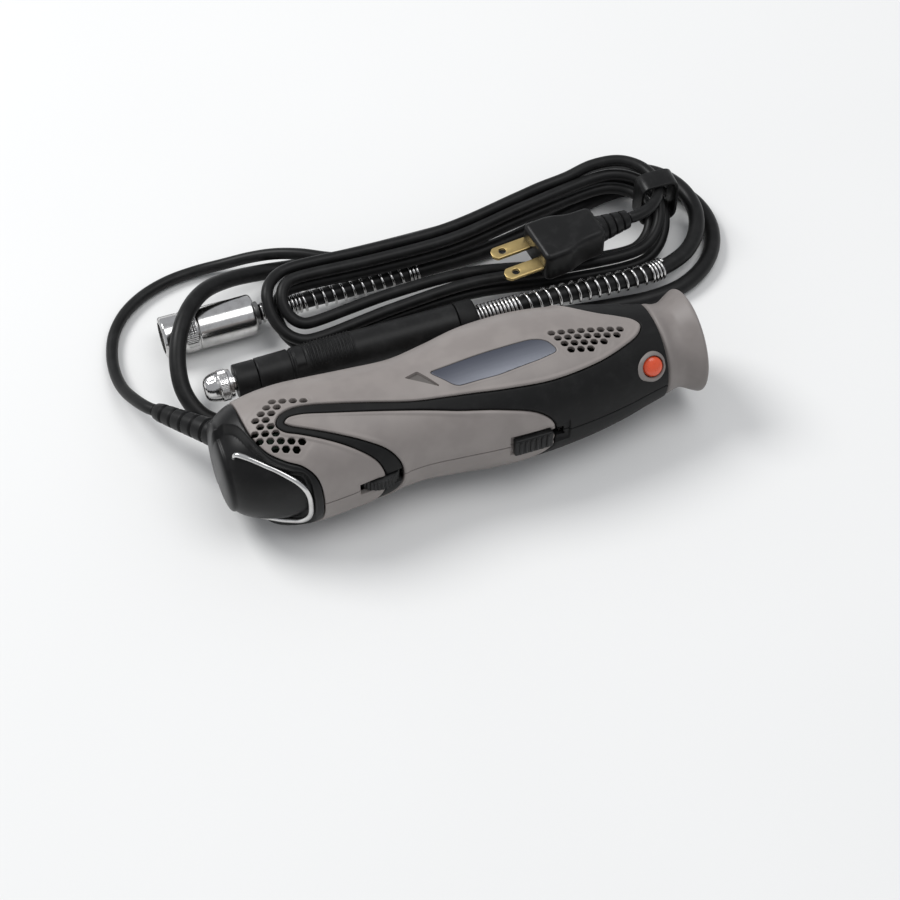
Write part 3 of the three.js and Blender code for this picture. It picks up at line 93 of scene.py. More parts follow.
# Driving dimensions, in millimetres, as the solids have them.
GAP = 0.3
BODY_LENGTH = 182.0
BODY_TAIL = -122.0
BODY_NOSE = BODY_TAIL + BODY_LENGTH
BODY_RADIUS = 30.0
AXIS = 0.917 * BODY_RADIUS
SECTION_POWER = 2.2
PROFILE = np.array([
    (0, 0.42, 0.46, 0.44), (0.016, 0.60, 0.66, 0.63), (0.05, 0.735, 0.81, 0.78),
    (0.1, 0.80, 0.91, 0.875), (0.165, 0.825, 0.97, 0.917), (0.23, 0.81, 0.96, 0.905),
    (0.33, 0.785, 0.89, 0.85), (0.423, 0.775, 0.83, 0.81), (0.505, 0.86, 0.86, 0.85),
    (0.588, 0.97, 0.905, 0.90), (0.67, 1.0, 0.925, 0.917), (0.736, 0.98, 0.91, 0.905),
    (0.824, 0.89, 0.86, 0.85), (0.901, 0.775, 0.78, 0.77), (0.956, 0.69, 0.70, 0.69),
    (1, 0.63, 0.64, 0.63)])

CORD_RADIUS = 2.5
SHEATH_RADIUS = 3.5


# Curves and routes.
def eased(a, b, start, end, t):
    """From a to b over t from 0 to 1, leaving and arriving at two slopes."""
    return a + t * (start + t * (3 * (b - a) - 2 * start - end + t * (2 * (a - b) + start + end)))


def through(points, per_span=24):
    """A smooth centripetal curve through the points, as a dense line."""
    points = [np.asarray(p, dtype=float) for p in points]
    ends = [2 * points[0] - points[1]] + points + [2 * points[-1] - points[-2]]
    line = []
    for p0, p1, p2, p3 in zip(ends, ends[1:], ends[2:], ends[3:]):
        d0, d1, d2 = (max(math.sqrt(np.linalg.norm(b - a)), 1e-4)
                      for a, b in ((p0, p1), (p1, p2), (p2, p3)))
        m1 = ((p1 - p0) / d0 - (p2 - p0) / (d0 + d1) + (p2 - p1) / d1) * d1
        m2 = ((p2 - p1) / d1 - (p3 - p1) / (d1 + d2) + (p3 - p2) / d2) * d1
        for t in np.linspace(0, 1, per_span, endpoint=False):
            line.append(eased(p1, p2, m1, m2, t))
    line.append(points[-1])
    return np.array(line)


def lengths_along(line):
    """The length up to each point of a line."""
    return np.concatenate(([0], np.cumsum(np.linalg.norm(np.diff(line, axis=0), axis=1))))


def read_at(marks, line, values):
    """Values that are known at a line's points, read at lengths along it."""
    along = lengths_along(line)
    return np.column_stack([np.interp(marks, along, values[:, k]) for k in range(3)])


def spaced(line, step):
    """The same line with its points at equal steps."""
    total = lengths_along(line)[-1]
    return read_at(np.linspace(0, total, max(2, int(round(total / step)) + 1)), line, line)


def straight(start, end, step):
    return spaced(np.array((start, end), dtype=float), step)


def smooth(share):
    held = np.clip(share, 0, 1)
    return held * held * (3 - 2 * held)


# The flexible shaft's sheath, from the handpiece's rear to the coupling.
HAND_NUT, HAND_REAR, HAND_Y = -114.0, 3.0, 50.0
HAND_RADIUS = 8.0
HAND_Z = 2 * SHEATH_RADIUS + HAND_RADIUS + GAP
COUPLE_FROM, COUPLE_LENGTH, COUPLE_Y, COUPLE_RADIUS = -122.0, 40.0, 88.0, 8.8
COUPLE_Z = COUPLE_RADIUS
COUPLE_HOSE = COUPLE_FROM + COUPLE_LENGTH + 2.3
OVER_NUT = 2 * COUPLE_RADIUS + SHEATH_RADIUS + 2 * GAP
LOW = SHEATH_RADIUS
SHEATH_ROUTE = [
    (HAND_REAR + GAP, HAND_Y, HAND_Z), (14, HAND_Y, HAND_Z), (36, 50.2, 14.6),
    (58, 50.6, 12.6), (76, 51.6, 10.6), (90, 53.6, 9.6),
    (102.5, 58.5, 9.8), (111, 67, 10.6), (115.5, 79, 11.4), (114.5, 92, 11.8),
    (108, 103.5, 11.6), (97, 111.5, 9.8), (83, 114.8, 7.2), (68, 114, 5.2), (52, 111.6, 3.9),
    (34, 110.2, LOW), (2, 109.6, LOW), (-26, 109.8, LOW), (-44, 110.4, 3.7),
    (-58, 110.8, 4.9), (-73, 109.4, 8.6), (-88, 105, 14.4), (-100, 97.8, 19.6),
    (-109, 88.4, OVER_NUT), (-116, 77.5, 20.6), (-120.5, 65.5, 15.8), (-121, 54.5, 10.6),
    (-116.5, 44.6, 6.2), (-107, 38.4, 4), (-94, 37.6, LOW), (-80, 40.6, LOW),
    (-64, 45.6, LOW), (-48, 49, LOW), (-32, HAND_Y, LOW), (-8, HAND_Y, LOW), (18, HAND_Y, LOW),
    (42, 48.2, LOW), (64, 45.4, LOW), (82, 44, LOW),
    (97, 46.4, LOW), (109.5, 53.4, LOW), (118.2, 64, LOW), (122, 77, LOW), (120.2, 91, LOW),
    (112.6, 101.8, LOW), (101, 106.8, LOW), (86.5, 107.2, LOW), (71, 104, LOW),
    (54, 99.4, LOW), (34, 94.8, 3.8), (16, 91.8, 4.6), (0, 90.8, 5.4), (-20, 90, 5.9),
    (-42, 89.2, 7), (-62, 88.4, 8.3), (-74, COUPLE_Y, COUPLE_Z),
    (COUPLE_HOSE, COUPLE_Y, COUPLE_Z),
]
SHEATH_LINE = spaced(through(SHEATH_ROUTE), 1.0)

# The power cord's hank: loops that spiral in on the lower layer and out on the upper one.
CORD_PITCH, CORD_LAYER = 6.1, 6.8
LEFT_LOBE, LEFT_LOBE_RADIUS = np.array((-62, 78.5)), 17.0
RIGHT_LOBE, RIGHT_LOBE_RADIUS = np.array((80, 85)), 24.0
WAIST_X, WAIST_HALF, WAIST_DRAW = 2.0, 70.0, 5.4
HANK_START, HANK_END, HANK_TURN_BACK = 1 / 24, 3 + 3.3 / 24, 1.585
CLIMB_FROM, CLIMB_TO = 1.5, 1.667
LOOP_STEPS, RUN_STEPS, ARC_STEPS = 24, 4, 8
GROUND_NEAR, GROUND_FAR = CORD_RADIUS + GAP, 13.5
GROUND_FROM, GROUND_TO = 58.0, 88.0
GROUND_RISE, RISE_FROM, RISE_OVER = 3.6, 10.0, 90.0


def hank_place(loops):
    """A place on the hank's line after so many loops: straight runs and arcs round two lobes."""
    between = RIGHT_LOBE - LEFT_LOBE
    tilt = math.asin((RIGHT_LOBE_RADIUS - LEFT_LOBE_RADIUS) / np.hypot(*between))
    aim = math.atan2(between[1], between[0])
    upper, lower = aim + math.pi / 2 + tilt, aim - math.pi / 2 - tilt
    inset = CORD_PITCH * (HANK_TURN_BACK - HANK_START - abs(loops - HANK_TURN_BACK))
    ends = [(LEFT_LOBE, LEFT_LOBE_RADIUS - inset), (RIGHT_LOBE, RIGHT_LOBE_RADIUS - inset)]
    half, step = divmod((loops - math.floor(loops)) * LOOP_STEPS, RUN_STEPS + ARC_STEPS)
    angle, sweep = upper, lower - upper
    if half:
        ends.reverse()
        angle, sweep = lower, upper - lower - 2 * math.pi

    def on(end, angle):
        lobe, radius = end
        return lobe + radius * np.array((math.cos(angle), math.sin(angle)))

    side = 0
    if step < RUN_STEPS:
        share = step / RUN_STEPS
        place = on(ends[0], angle) * (1 - share) + on(ends[1], angle) * share
        side = 1 - 2 * half
    else:
        place = on(ends[1], angle + sweep * (step - RUN_STEPS) / ARC_STEPS)
    x, y = place
    y -= side * WAIST_DRAW * smooth(1 - abs(x - WAIST_X) / WAIST_HALF)
    rise = GROUND_RISE * smooth((RISE_FROM - x) / RISE_OVER)
    far = smooth((y - GROUND_FROM) / (GROUND_TO - GROUND_FROM))
    z = GROUND_NEAR + far * (GROUND_FAR + rise - GROUND_NEAR)
    z += CORD_LAYER * smooth((loops - CLIMB_FROM) / (CLIMB_TO - CLIMB_FROM))
    return (x, y, z)


HANK_LINE = [hank_place(step / LOOP_STEPS)
             for step in np.arange(HANK_START * LOOP_STEPS, HANK_END * LOOP_STEPS - 1e-4)]
HANK_LINE.append(hank_place(HANK_END))

RELIEF_LINE = [(-105.5, 3, AXIS), (-112, 12, 27.2), (-119, 21.5, 25.4), (-127.5, 33.5, 21.4),
               (-135, 45, 17)]
LEAD_ROUTE = [
    (-135.2, 45.35, 16.85), (-137.8, 49.3, 15.35), (-141.2, 58, 11.6), (-143.8, 68, 7.6),
    (-144.6, 79, 4.6), (-143.4, 90.5, 3), (-139.6, 102, 2.6), (-132.6, 111.6, 2.6),
    (-122.6, 118.8, 2.6), (-110.6, 123.2, 2.6), (-98, 124.6, 2.8), (-86, 122.8, 4.8),
    (-75, 119.3, 8.6), (-65, 114.6, 12.2), (-55, 108.9, 14.4), (-44, 102, 15.2),
]
PLUG_TAIL = Vector((80, 71, 26.2))
PLUG_TILT = math.radians(6.4)
PLUG_AIM = Vector((-math.cos(PLUG_TILT), -math.sin(PLUG_TILT), 0))
TAIL_ROUTE = [
    (66, 106.6, 21.4), (78, 107.2, 24.2), (89.4, 104.2, 26), (96.8, 97.4, 26.2),
    (99.4, 88.6, 26.2), (97.2, 79.8, 26.2), (91, 73.8, 26.2),
    tuple(PLUG_TAIL - 2 * CORD_RADIUS * PLUG_AIM), tuple(PLUG_TAIL - GAP * PLUG_AIM),
]
CORD_LINE = spaced(through(LEAD_ROUTE + HANK_LINE + TAIL_ROUTE, 12), 1.0)


# Making meshes.
def linked(name, data):
    piece = bpy.data.objects.new(name, data)
    bpy.context.scene.collection.objects.link(piece)
    return piece


def piece_from(name, points, faces):
    mesh = bpy.data.meshes.new(name)
    mesh.from_pydata([tuple(p) for p in placed(points)], [], [tuple(f) for f in faces])
    mesh.validate()
    mesh.update()
    mesh.shade_smooth()
    return linked(name, mesh)


def select_only(*pieces):
    """Selects just these pieces; the first one is the active one."""
    for other in bpy.context.selected_objects:
        other.select_set(False)
    for piece in pieces:
        piece.select_set(True)
    bpy.context.view_layer.objects.active = pieces[0]


def finish_with(piece, kind, **settings):
    """Adds a modifier and applies it."""
    select_only(piece)
    modifier = piece.modifiers.new(kind.lower(), kind)
    for key, value in settings.items():
        setattr(modifier, key, value)
    bpy.ops.object.modifier_apply(modifier=modifier.name)


def joined(name, pieces):
    select_only(*pieces)
    bpy.ops.object.join()
    pieces[0].name = name
    return pieces[0]


def shade_by_angle(piece, angle=40):
    select_only(piece)
    bpy.ops.object.shade_smooth_by_angle(angle=math.radians(angle))


def softened(piece, width, segments, angle=28):
    """Rounds the sharp edges and shades the rest smooth."""
    finish_with(piece, "BEVEL", width=width * MM, segments=segments, limit_method="ANGLE",
                angle_limit=math.radians(angle), harden_normals=False, miter_outer="MITER_ARC")
    shade_by_angle(piece, 38)
    return piece


def skinned(name, rings, closed=False):
    """Rings of points joined in turn: the last one to the first, or with both ends filled."""
    count, last = len(rings[0]), len(rings) - 1
    faces = []
    for ring in range(last + closed):
        near, far = ring * count, (ring + 1) % len(rings) * count
        faces += [(near + k, near + (k + 1) % count, far + (k + 1) % count, far + k)
                  for k in range(count)]
    if not closed:
        faces += [tuple(reversed(range(count))), tuple(range(last * count, len(rings) * count))]
    return piece_from(name, np.concatenate(rings), faces)


def carried(line):
    """A line's tangents, and directions across it that are carried along without a twist."""
    tangents = np.gradient(line, axis=0)
    tangents /= np.linalg.norm(tangents, axis=1)[:, None]
    steep = abs(tangents[0][2]) >= 0.9
    across = [np.array((0, 1.0, 0) if steep else (0, 0, 1.0))]
    for tangent in tangents:
        flat = across[-1] - tangent * across[-1].dot(tangent)
        across.append(flat / np.linalg.norm(flat))
    return tangents, np.array(across[1:])


def worked(name, line, radius_at, sides, shade=35):
    """A closed surface round a line, from its radii at a length along it and at all angles."""
    tangents, across = carried(line)
    angles = np.linspace(0, 2 * math.pi, sides, endpoint=False)
    rings = []
    for centre, side, up, mark in zip(line, across, np.cross(tangents, across), lengths_along(line)):
        out = np.outer(np.cos(angles), side) + np.outer(np.sin(angles), up)
        rings.append(centre + np.maximum(radius_at(mark, angles), 0.05)[:, None] * out)
    piece = skinned(name, rings)
    if shade:
        shade_by_angle(piece, shade)
    return piece


def tube(name, line, radius, sides):
    return worked(name, line, lambda mark, angles: np.full(sides, radius), sides, None)


def merged(piece, reach=1e-6, turn_out=True):
    """Merges the points that meet, and turns the faces of a closed piece out."""
    mesh = bmesh.new()
    mesh.from_mesh(piece.data)
    bmesh.ops.remove_doubles(mesh, verts=mesh.verts, dist=reach)
    if turn_out:
        bmesh.ops.recalc_face_normals(mesh, faces=mesh.faces)
    mesh.to_mesh(piece.data)
    mesh.free()
    return piece


def moved(piece, turn, place):
    """Turns a piece that is modelled about the drawing's origin, and sets it at a place."""
    piece.data.transform(Matrix.Translation(placed(place)) @ turn
                         @ Matrix.Translation(-Vector(placed((0, 0, 0)))))
    piece.data.update()
    return piece


def prism(name, outline, low, high):
    """An outline in X and Y drawn up between two heights."""
    return merged(skinned(name, [[(x, y, z) for x, y in outline] for z in (low, high)]))


def turned(name, profile, place, steps):
    """A profile of [x, radius] corners spun about an axis along X."""
    mesh = bpy.data.meshes.new(name)
    y, z = place
    corners = [tuple(p) for p in placed([(x, y, z + r) for x, r in profile])]
    edges = [(k, k + 1) for k in range(len(corners) - 1)]
    if profile[0] == profile[-1]:
        corners.pop()
        edges[-1] = (len(corners) - 1, 0)
    mesh.from_pydata(corners, edges, [])
    piece = linked(name, mesh)
    select_only(piece)
    bpy.ops.object.mode_set(mode="EDIT")
    bpy.ops.mesh.select_all(action="SELECT")
    bpy.ops.mesh.spin(steps=steps, angle=2 * math.pi, center=tuple(placed((0, y, z))),
                      axis=(1, 0, 0))
    bpy.ops.mesh.select_all(action="SELECT")
    bpy.ops.mesh.remove_doubles(threshold=1e-6)
    bpy.ops.mesh.normals_make_consistent(inside=False)
    bpy.ops.object.mode_set(mode="OBJECT")
    return piece


# Materials: one small class wraps a socket, so that shader maths reads as arithmetic.
class Socket:
    def __init__(self, tree, socket):
        self.tree, self.socket = tree, socket

    def put(self, slot, value):
        """Links a socket to a slot, or sets the slot's own value."""
        if isinstance(value, Socket):
            self.tree.links.new(value.socket, slot)
        else:
            slot.default_value = value

    def node(self, kind, settings=None, output=0, **values):
        """A new node; a value's key is the slot's name, or i and the slot's number."""
        made = self.tree.nodes.new(kind)
        for key, value in (settings or {}).items():
            setattr(made, key, value)
        for key, value in values.items():
            numbered = key[0] == "i" and key[1:].isdigit()
            self.put(made.inputs[int(key[1:]) if numbered else key.replace("_", " ")], value)
        return Socket(self.tree, made.outputs[output])

    def math(self, operation, other):
        return self.node("ShaderNodeMath", {"operation": operation}, i0=self, i1=other)

    def __add__(self, other):
        return self.math("ADD", other)

    def __sub__(self, other):
        return self.math("SUBTRACT", other)

    def __mul__(self, other):
        return self.math("MULTIPLY", other)

    __radd__ = __add__
    __rmul__ = __mul__

    def between(self, low, high):
        """0 below low, 1 above high, smooth between."""
        return self.node("ShaderNodeMapRange", {"interpolation_type": "SMOOTHSTEP"},
                         Value=self, From_Min=low, From_Max=high)


class Finish:
    """A material with its object coordinates and its shader at hand."""

    def __init__(self, name, metallic=0.0, specular=0.5, coat=0.0):
        self.material = bpy.data.materials.new(name)
        self.material.use_nodes = True
        tree = self.material.node_tree
        self.shader = tree.nodes["Principled BSDF"]
        self.place = Socket(tree, tree.nodes.new("ShaderNodeTexCoord").outputs["Object"])
        self.feed(Metallic=metallic, Specular_IOR_Level=specular, Coat_Weight=coat)

    def noise(self, scale, detail=3.0, roughness=0.55, place=None):
        return self.place.node("ShaderNodeTexNoise", Vector=place or self.place, Scale=scale,
                               Detail=detail, Roughness=roughness)

    def stretched(self, scale):
        """Coordinates stretched by a factor along each axis."""
        return self.place.node("ShaderNodeMapping", Vector=self.place, Scale=scale)

    def mix(self, factor, low, high):
        return self.place.node("ShaderNodeMix", {"data_type": "RGBA"}, output=2,
                               i0=factor, i6=low, i7=high)

    def feed(self, **links):
        for key, value in links.items():
            self.place.put(self.shader.inputs[key.replace("_", " ")], value)
        return self

    def bump(self, height, strength, distance):
        made = height.node("ShaderNodeBump", Height=height, Strength=strength,
                           Distance=distance * MM)
        return self.feed(Normal=made)


def grey(value, warmth=0.0):
    """A grey, with a share more red and less blue."""
    return (value * (1 + warmth), value, value * (1 - warmth), 1)


def moulded_grey(name, light, dark):
    """Taupe moulded plastic with a fine spark-eroded grain."""
    finish = Finish(name, specular=0.4)
    patch = finish.noise(90, 2)
    grain = finish.noise(5200, 2, 0.6)
    finish.feed(Base_Color=finish.mix(patch.between(0.35, 0.65), dark, light),
                Roughness=0.38 + 0.10 * patch + 0.05 * grain)
    return finish.bump(grain, 0.18, 0.05).material


def black_rubber(name, base, roughness, grain_size, strength):
    """Soft black overmould, faintly dusty, with a fine matt grain."""
    finish = Finish(name, specular=0.2)
    dust = finish.noise(160, 4, 0.65)
    grain = finish.noise(grain_size, 2, 0.6)
    finish.feed(Base_Color=finish.mix(dust.between(0.42, 0.78), grey(base), grey(base * 1.9)),
                Roughness=roughness - 0.06 + 0.14 * dust)
    return finish.bump(grain, strength, 0.06).material


def polished_steel(name, base, roughness, streaks=(1, 1, 1)):
    """Bright plated steel with faint wear; streaks lie across the X axis where turned."""
    finish = Finish(name, metallic=1.0)
    rubbed = finish.noise(240, 3, 0.6)
    lathe = finish.noise(700, 2, 0.6, finish.stretched(streaks))
    bright, dull = grey(base, 0.01), grey(base * 0.82, 0.02)
    finish.feed(Base_Color=finish.mix(rubbed.between(0.4, 0.75), bright, dull),
                Roughness=roughness + 0.08 * rubbed + 0.06 * lathe)
    return finish.bump(lathe, 0.05, 0.03).material


def glossy_red(name):
    finish = Finish(name, specular=0.6, coat=0.3)
    cloud = finish.noise(300, 3)
    finish.feed(Base_Color=finish.mix(cloud, (0.62, 0.055, 0.014, 1), (0.80, 0.10, 0.025, 1)),
                Roughness=0.22 + 0.12 * cloud)
    return finish.bump(finish.noise(2600, 2), 0.05, 0.03).material


def silver_film(name):
    """Brushed silver-blue film, darker towards its far left."""
    finish = Finish(name, metallic=0.25, specular=0.5)
    along = finish.place.node("ShaderNodeSeparateXYZ", Vector=finish.place)
    across = finish.place.node("ShaderNodeSeparateXYZ", output=1, Vector=finish.place)
    low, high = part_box("label_film")
    slope = (across - low[1]) * (1 / (high[1] - low[1])) - (along - low[0]) * (0.35 / (high[0] - low[0]))
    brushed = finish.noise(900, 3, 0.6, finish.stretched((0.06, 1, 1)))
    tone = (slope + (brushed - 0.5) * 0.25).between(-0.25, 0.95)
    finish.feed(Base_Color=finish.mix(tone, (0.165, 0.175, 0.205, 1), (0.05, 0.055, 0.075, 1)),
                Roughness=0.30 + 0.15 * brushed)
    return finish.bump(brushed, 0.06, 0.02).material


def plain(name, low, high, scale, roughness, metallic=0.0, bump=0.1, stretch=(1, 1, 1)):
    """An inner piece's finish: two tones of one colour over a noise."""
    finish = Finish(name, metallic=metallic)
    cloud = finish.noise(scale, 3, 0.6, finish.stretched(stretch))
    finish.feed(Base_Color=finish.mix(cloud, (*low, 1), (*high, 1)), Roughness=roughness + 0.15 * cloud)
    return finish.bump(cloud, bump, 0.05).material


GREY_SHELL = moulded_grey("taupe_shell", (0.262, 0.236, 0.222, 1), (0.236, 0.212, 0.200, 1))
GREY_TRIM = moulded_grey("taupe_collar", (0.225, 0.203, 0.192, 1), (0.200, 0.180, 0.170, 1))
# Painted shade: a darker copy of the shell's grey, for the floor of the three-sided recess.
PAINTED_SHADE_GREY = moulded_grey("taupe_painted_recess_shade", (0.120, 0.108, 0.100, 1), (0.100, 0.090, 0.084, 1))
SOFT_GRIP = black_rubber("soft_grip", 0.0062, 0.56, 3600, 0.25)
TAIL_RUBBER = black_rubber("tail_rubber", 0.0062, 0.34, 3600, 0.12)
CORD_JACKET = black_rubber("cord_jacket", 0.0085, 0.40, 2400, 0.15)
SHEATH_JACKET = black_rubber("sheath_jacket", 0.0085, 0.40, 2000, 0.2)
HAND_PLASTIC = black_rubber("handpiece_plastic", 0.010, 0.40, 3000, 0.2)
STRAP_PLASTIC = black_rubber("strap_plastic", 0.009, 0.33, 1500, 0.15)
SPRING_STEEL = polished_steel("spring_steel", 0.66, 0.12)
NUT_STEEL = polished_steel("turned_steel", 0.62, 0.10, (60, 1, 1))
WIRE_STEEL = polished_steel("bail_wire", 0.62, 0.14)
DARK_STEEL = polished_steel("dark_steel", 0.30, 0.28, (40, 1, 1))
RED_BUTTON = glossy_red("red_button")
FILM = silver_film("silver_film")
COPPER = plain("wound_copper", (0.42, 0.14, 0.05), (0.70, 0.28, 0.12), 900, 0.3, 1.0, 0.5, (8, 1, 1))
STACK = plain("steel_stack", (0.05, 0.045, 0.04), (0.11, 0.10, 0.095), 1400, 0.45, 0.7, 0.5,
              (12, 0.2, 0.2))
CARBON = plain("pressed_carbon", (0.012, 0.012, 0.013), (0.03, 0.03, 0.03), 1800, 0.7)
BRASS = plain("plug_brass", (0.55, 0.40, 0.16), (0.68, 0.52, 0.24), 500, 0.24, 1.0, 0.05)
BOARD = plain("circuit_board", (0.008, 0.022, 0.012), (0.018, 0.042, 0.022), 300, 0.45)


def dress(mesh, material):
    mesh.materials.clear()
    mesh.materials.append(material)


def hold(piece, material, slot, *nodes, body="housing"):
    """Gives a piece its material and its body, and hides the solids that it stands for; slot is not used.
    """
    dress(piece.data, material)
    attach(piece, body)
    if nodes:
        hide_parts(*nodes)
    return piece


# The cords come first.
POWER_CORD = hold(tube("power_cord", CORD_LINE, CORD_RADIUS, 16), CORD_JACKET, "cord_jacket",
                  "cord_lead", "cord_hank", "cord_tail")
SHEATH = hold(tube("shaft_sheath", SHEATH_LINE, SHEATH_RADIUS, 20), SHEATH_JACKET, "cord_jacket",
              "flex_sheath")


# The housing's skin: patches of the body's surface, cut along outlines in a flat sheet of
# (x, angle) and pressed in at their edges.
def bend(value):
    """A cosine or sine of the section's oblong shape."""
    return np.sign(value) * np.abs(value) ** (2 / SECTION_POWER)


def body_radii(x):
    """Radii at the underside, the top and the sides for each x."""
    share = np.clip((np.asarray(x) - BODY_TAIL) / BODY_LENGTH, 0, 1)
    marks = PROFILE[:, 0]
    row = np.clip(np.searchsorted(marks, share, side="right") - 1, 0, len(marks) - 2)
    before, after = np.maximum(row - 1, 0), np.minimum(row + 2, len(marks) - 1)
    span = marks[row + 1] - marks[row]
    t = (share - marks[row]) / span
    radii = []
    for column in (1, 2, 3):
        value = PROFILE[:, column]
        start = (value[row + 1] - value[before]) / (marks[row + 1] - marks[before]) * span
        end = (value[after] - value[row]) / (marks[after] - marks[row]) * span
        radii.append(BODY_RADIUS * eased(value[row], value[row + 1], start, end, t))
    return radii


TAIL_DOME, DOME_POWER, LEAST_RADIUS = 3.4, 2.8, 0.5


def body_point(x, angle, inset):
    """A point of the skin; the tail's end closes in a flat dome."""
    x = np.asarray(x)
    under, top, side = body_radii(np.maximum(x, BODY_TAIL + TAIL_DOME))
    share = np.clip((BODY_TAIL + TAIL_DOME - x) / TAIL_DOME, 0, 1)
    dome = (1 - share ** DOME_POWER) ** (1 / DOME_POWER)
    c, s = np.cos(angle), np.sin(angle)
    across = np.maximum(np.where(c > 0, under, top) - inset, LEAST_RADIUS) * dome
    upright = np.maximum(side - inset, LEAST_RADIUS) * dome
    return np.column_stack([x, across * bend(c), AXIS + upright * bend(s)])


def from_shares(shares):
    return [(x * BODY_LENGTH, y * BODY_RADIUS) for x, y in shares]


def leaf(shares):
    """A smooth outline through shares of the body's length and radius."""
    return [tuple(p) for p in through([(x, y, 0) for x, y in from_shares(shares)], 6)[:, :2]]


def rounded(points, reach, steps=5):
    """A closed outline with its corners rounded over a reach."""
    points = [np.array(p, dtype=float) for p in points]
    line = []
    for before, corner, after in zip(points[-1:] + points[:-1], points, points[1:] + points[:1]):
        start = corner + (before - corner) * min(0.45, reach / np.linalg.norm(before - corner))
        end = corner + (after - corner) * min(0.45, reach / np.linalg.norm(after - corner))
        for t in np.linspace(0, 1, steps):
            line.append((1 - t) ** 2 * start + 2 * t * (1 - t) * corner + t ** 2 * end)
    return line


def outline_distance(outline):
    """Distance to a closed outline seen from above: above zero inside it."""
    a = np.array(outline, dtype=float)
    b = np.roll(a, -1, axis=0)

    def distance(points):
        xy = points[:, :2]
        best = np.full(len(xy), 1e9)
        inside = np.zeros(len(xy), dtype=bool)
        for (ax, ay), (bx, by) in zip(a, b):
            ex, ey = bx - ax, by - ay
            wx, wy = xy[:, 0] - ax, xy[:, 1] - ay
            t = np.clip((wx * ex + wy * ey) / (ex * ex + ey * ey + 1e-12), 0, 1)
            best = np.minimum(best, np.hypot(wx - ex * t, wy - ey * t))
            if ay != by:
                crosses = (ay > xy[:, 1]) != (by > xy[:, 1])
                inside ^= crosses & (xy[:, 0] < ax + ex * (xy[:, 1] - ay) / ey)
        return np.where(inside, best, -best)
    return distance


FAR_OUT = 35.0
GROOVE_INNER = leaf([
    (0.08, -1.1), (0.055, -0.93), (0.016, -0.84), (-0.06, -0.735), (-0.154, -0.60),
    (-0.242, -0.443), (-0.341, -0.325), (-0.42, -0.235), (-0.484, -0.155), (-0.511, -0.158),
    (-0.520, -0.215), (-0.508, -0.285), (-0.484, -0.36), (-0.418, -0.53), (-0.363, -0.66),
    (-0.319, -0.77), (-0.28, -0.92), (-0.255, -1.1)])
GROOVE_OUTER = leaf([
    (-0.31, -1.1), (-0.322, -0.96), (-0.345, -0.845), (-0.385, -0.725), (-0.43, -0.60),
    (-0.498, -0.415), (-0.527, -0.325), (-0.538, -0.215), (-0.528, -0.10), (-0.505, -0.04),
    (-0.475, -0.035), (-0.395, -0.125), (-0.313, -0.235), (-0.242, -0.33), (-0.148, -0.44),
    (-0.05, -0.545), (0.055, -0.59), (0.165, -0.50), (0.231, -0.365), (0.28, -0.20),
    (0.296, -0.05), (0.285, 0.06), (0.255, 0.15), (0.215, 0.26), (0.175, 0.45),
    (0.145, 0.72), (0.13, 1.1)])
GRIP_OUTLINE = GROOVE_INNER + GROOVE_OUTER + [(BODY_NOSE + 5, FAR_OUT), (BODY_NOSE + 5, -FAR_OUT)]
CAP_OUTLINE = leaf([
    (-0.612, 1.1), (-0.607, 0.75), (-0.603, 0.40), (-0.600, 0.05), (-0.592, -0.25),
    (-0.572, -0.50), (-0.54, -0.66), (-0.508, -0.76), (-0.482, -0.90), (-0.472, -1.1)]) + [
    (BODY_TAIL - 5, -FAR_OUT), (BODY_TAIL - 5, FAR_OUT)]
RECESS_OUTLINE = leaf([
    (-0.64, 0.15), (-0.618, 0), (-0.598, -0.33), (-0.573, -0.60), (-0.536, -0.765),
    (-0.507, -0.85), (-0.495, -1.1)]) + [
    (BODY_TAIL - 5, -FAR_OUT), (BODY_TAIL - 5, 0.15 * BODY_RADIUS)]
LABEL_OUTLINE = rounded(from_shares([
    (-0.192, 0), (-0.145, -0.335), (-0.05, -0.365), (0.045, -0.315), (0.092, -0.255),
    (0.075, -0.05), (0.045, 0.02), (-0.07, 0.015)]), 2.6)
NOTCH_OUTLINE = rounded(from_shares([(-0.242, 0.03), (-0.212, 0.07), (-0.176, -0.27)]), 0.5)

LABEL_DEPTH = 0.5
NOTCH_DEPTH = 1.3
RECESS_DEPTH, RECESS_SLOPE = 3.4, 1.1
SKIN_DEPTH = 2.7
WALL = 2.4

to_grip = outline_distance(GRIP_OUTLINE)
to_cap = outline_distance(CAP_OUTLINE)
to_recess = outline_distance(RECESS_OUTLINE)
to_label = outline_distance(LABEL_OUTLINE)
to_notch = outline_distance(NOTCH_OUTLINE)

# Vents: six-sided holes on a slanting lattice, in a C round the tongue's end and in a
# triangle before the label. A row is (columns in from the lattice's first, how many).
HEX_ACROSS, HEX_POWER = 1.5, 9
VENT_PITCH, VENT_ROW, VENT_REACH = 4.0, 2.9, 12
SQUARER = VENT_PITCH * math.sqrt(0.75) / VENT_ROW
TAIL_VENTS = ((-101.7, 7.0), math.radians(-19.1), [
    (1.5, 4), (1, 2), (0.5, 2), (0, 2), (0.5, 2), (0, 3), (0.5, 5), (2, 3)])
NOSE_VENTS = ((16.9, 1.3), math.radians(-8), [(0, 8), (0.5, 7), (1, 5), (1.5, 3)])


def vent_places(first, slant, rows):
    along = np.array((math.cos(slant), math.sin(slant)))
    down = np.array((math.sin(slant), -math.cos(slant)))
    return [(first + along * VENT_PITCH * (start + k) + down * VENT_ROW * row, along, down)
            for row, (start, count) in enumerate(rows) for k in range(count)]


VENTS = vent_places(*TAIL_VENTS) + vent_places(*NOSE_VENTS)


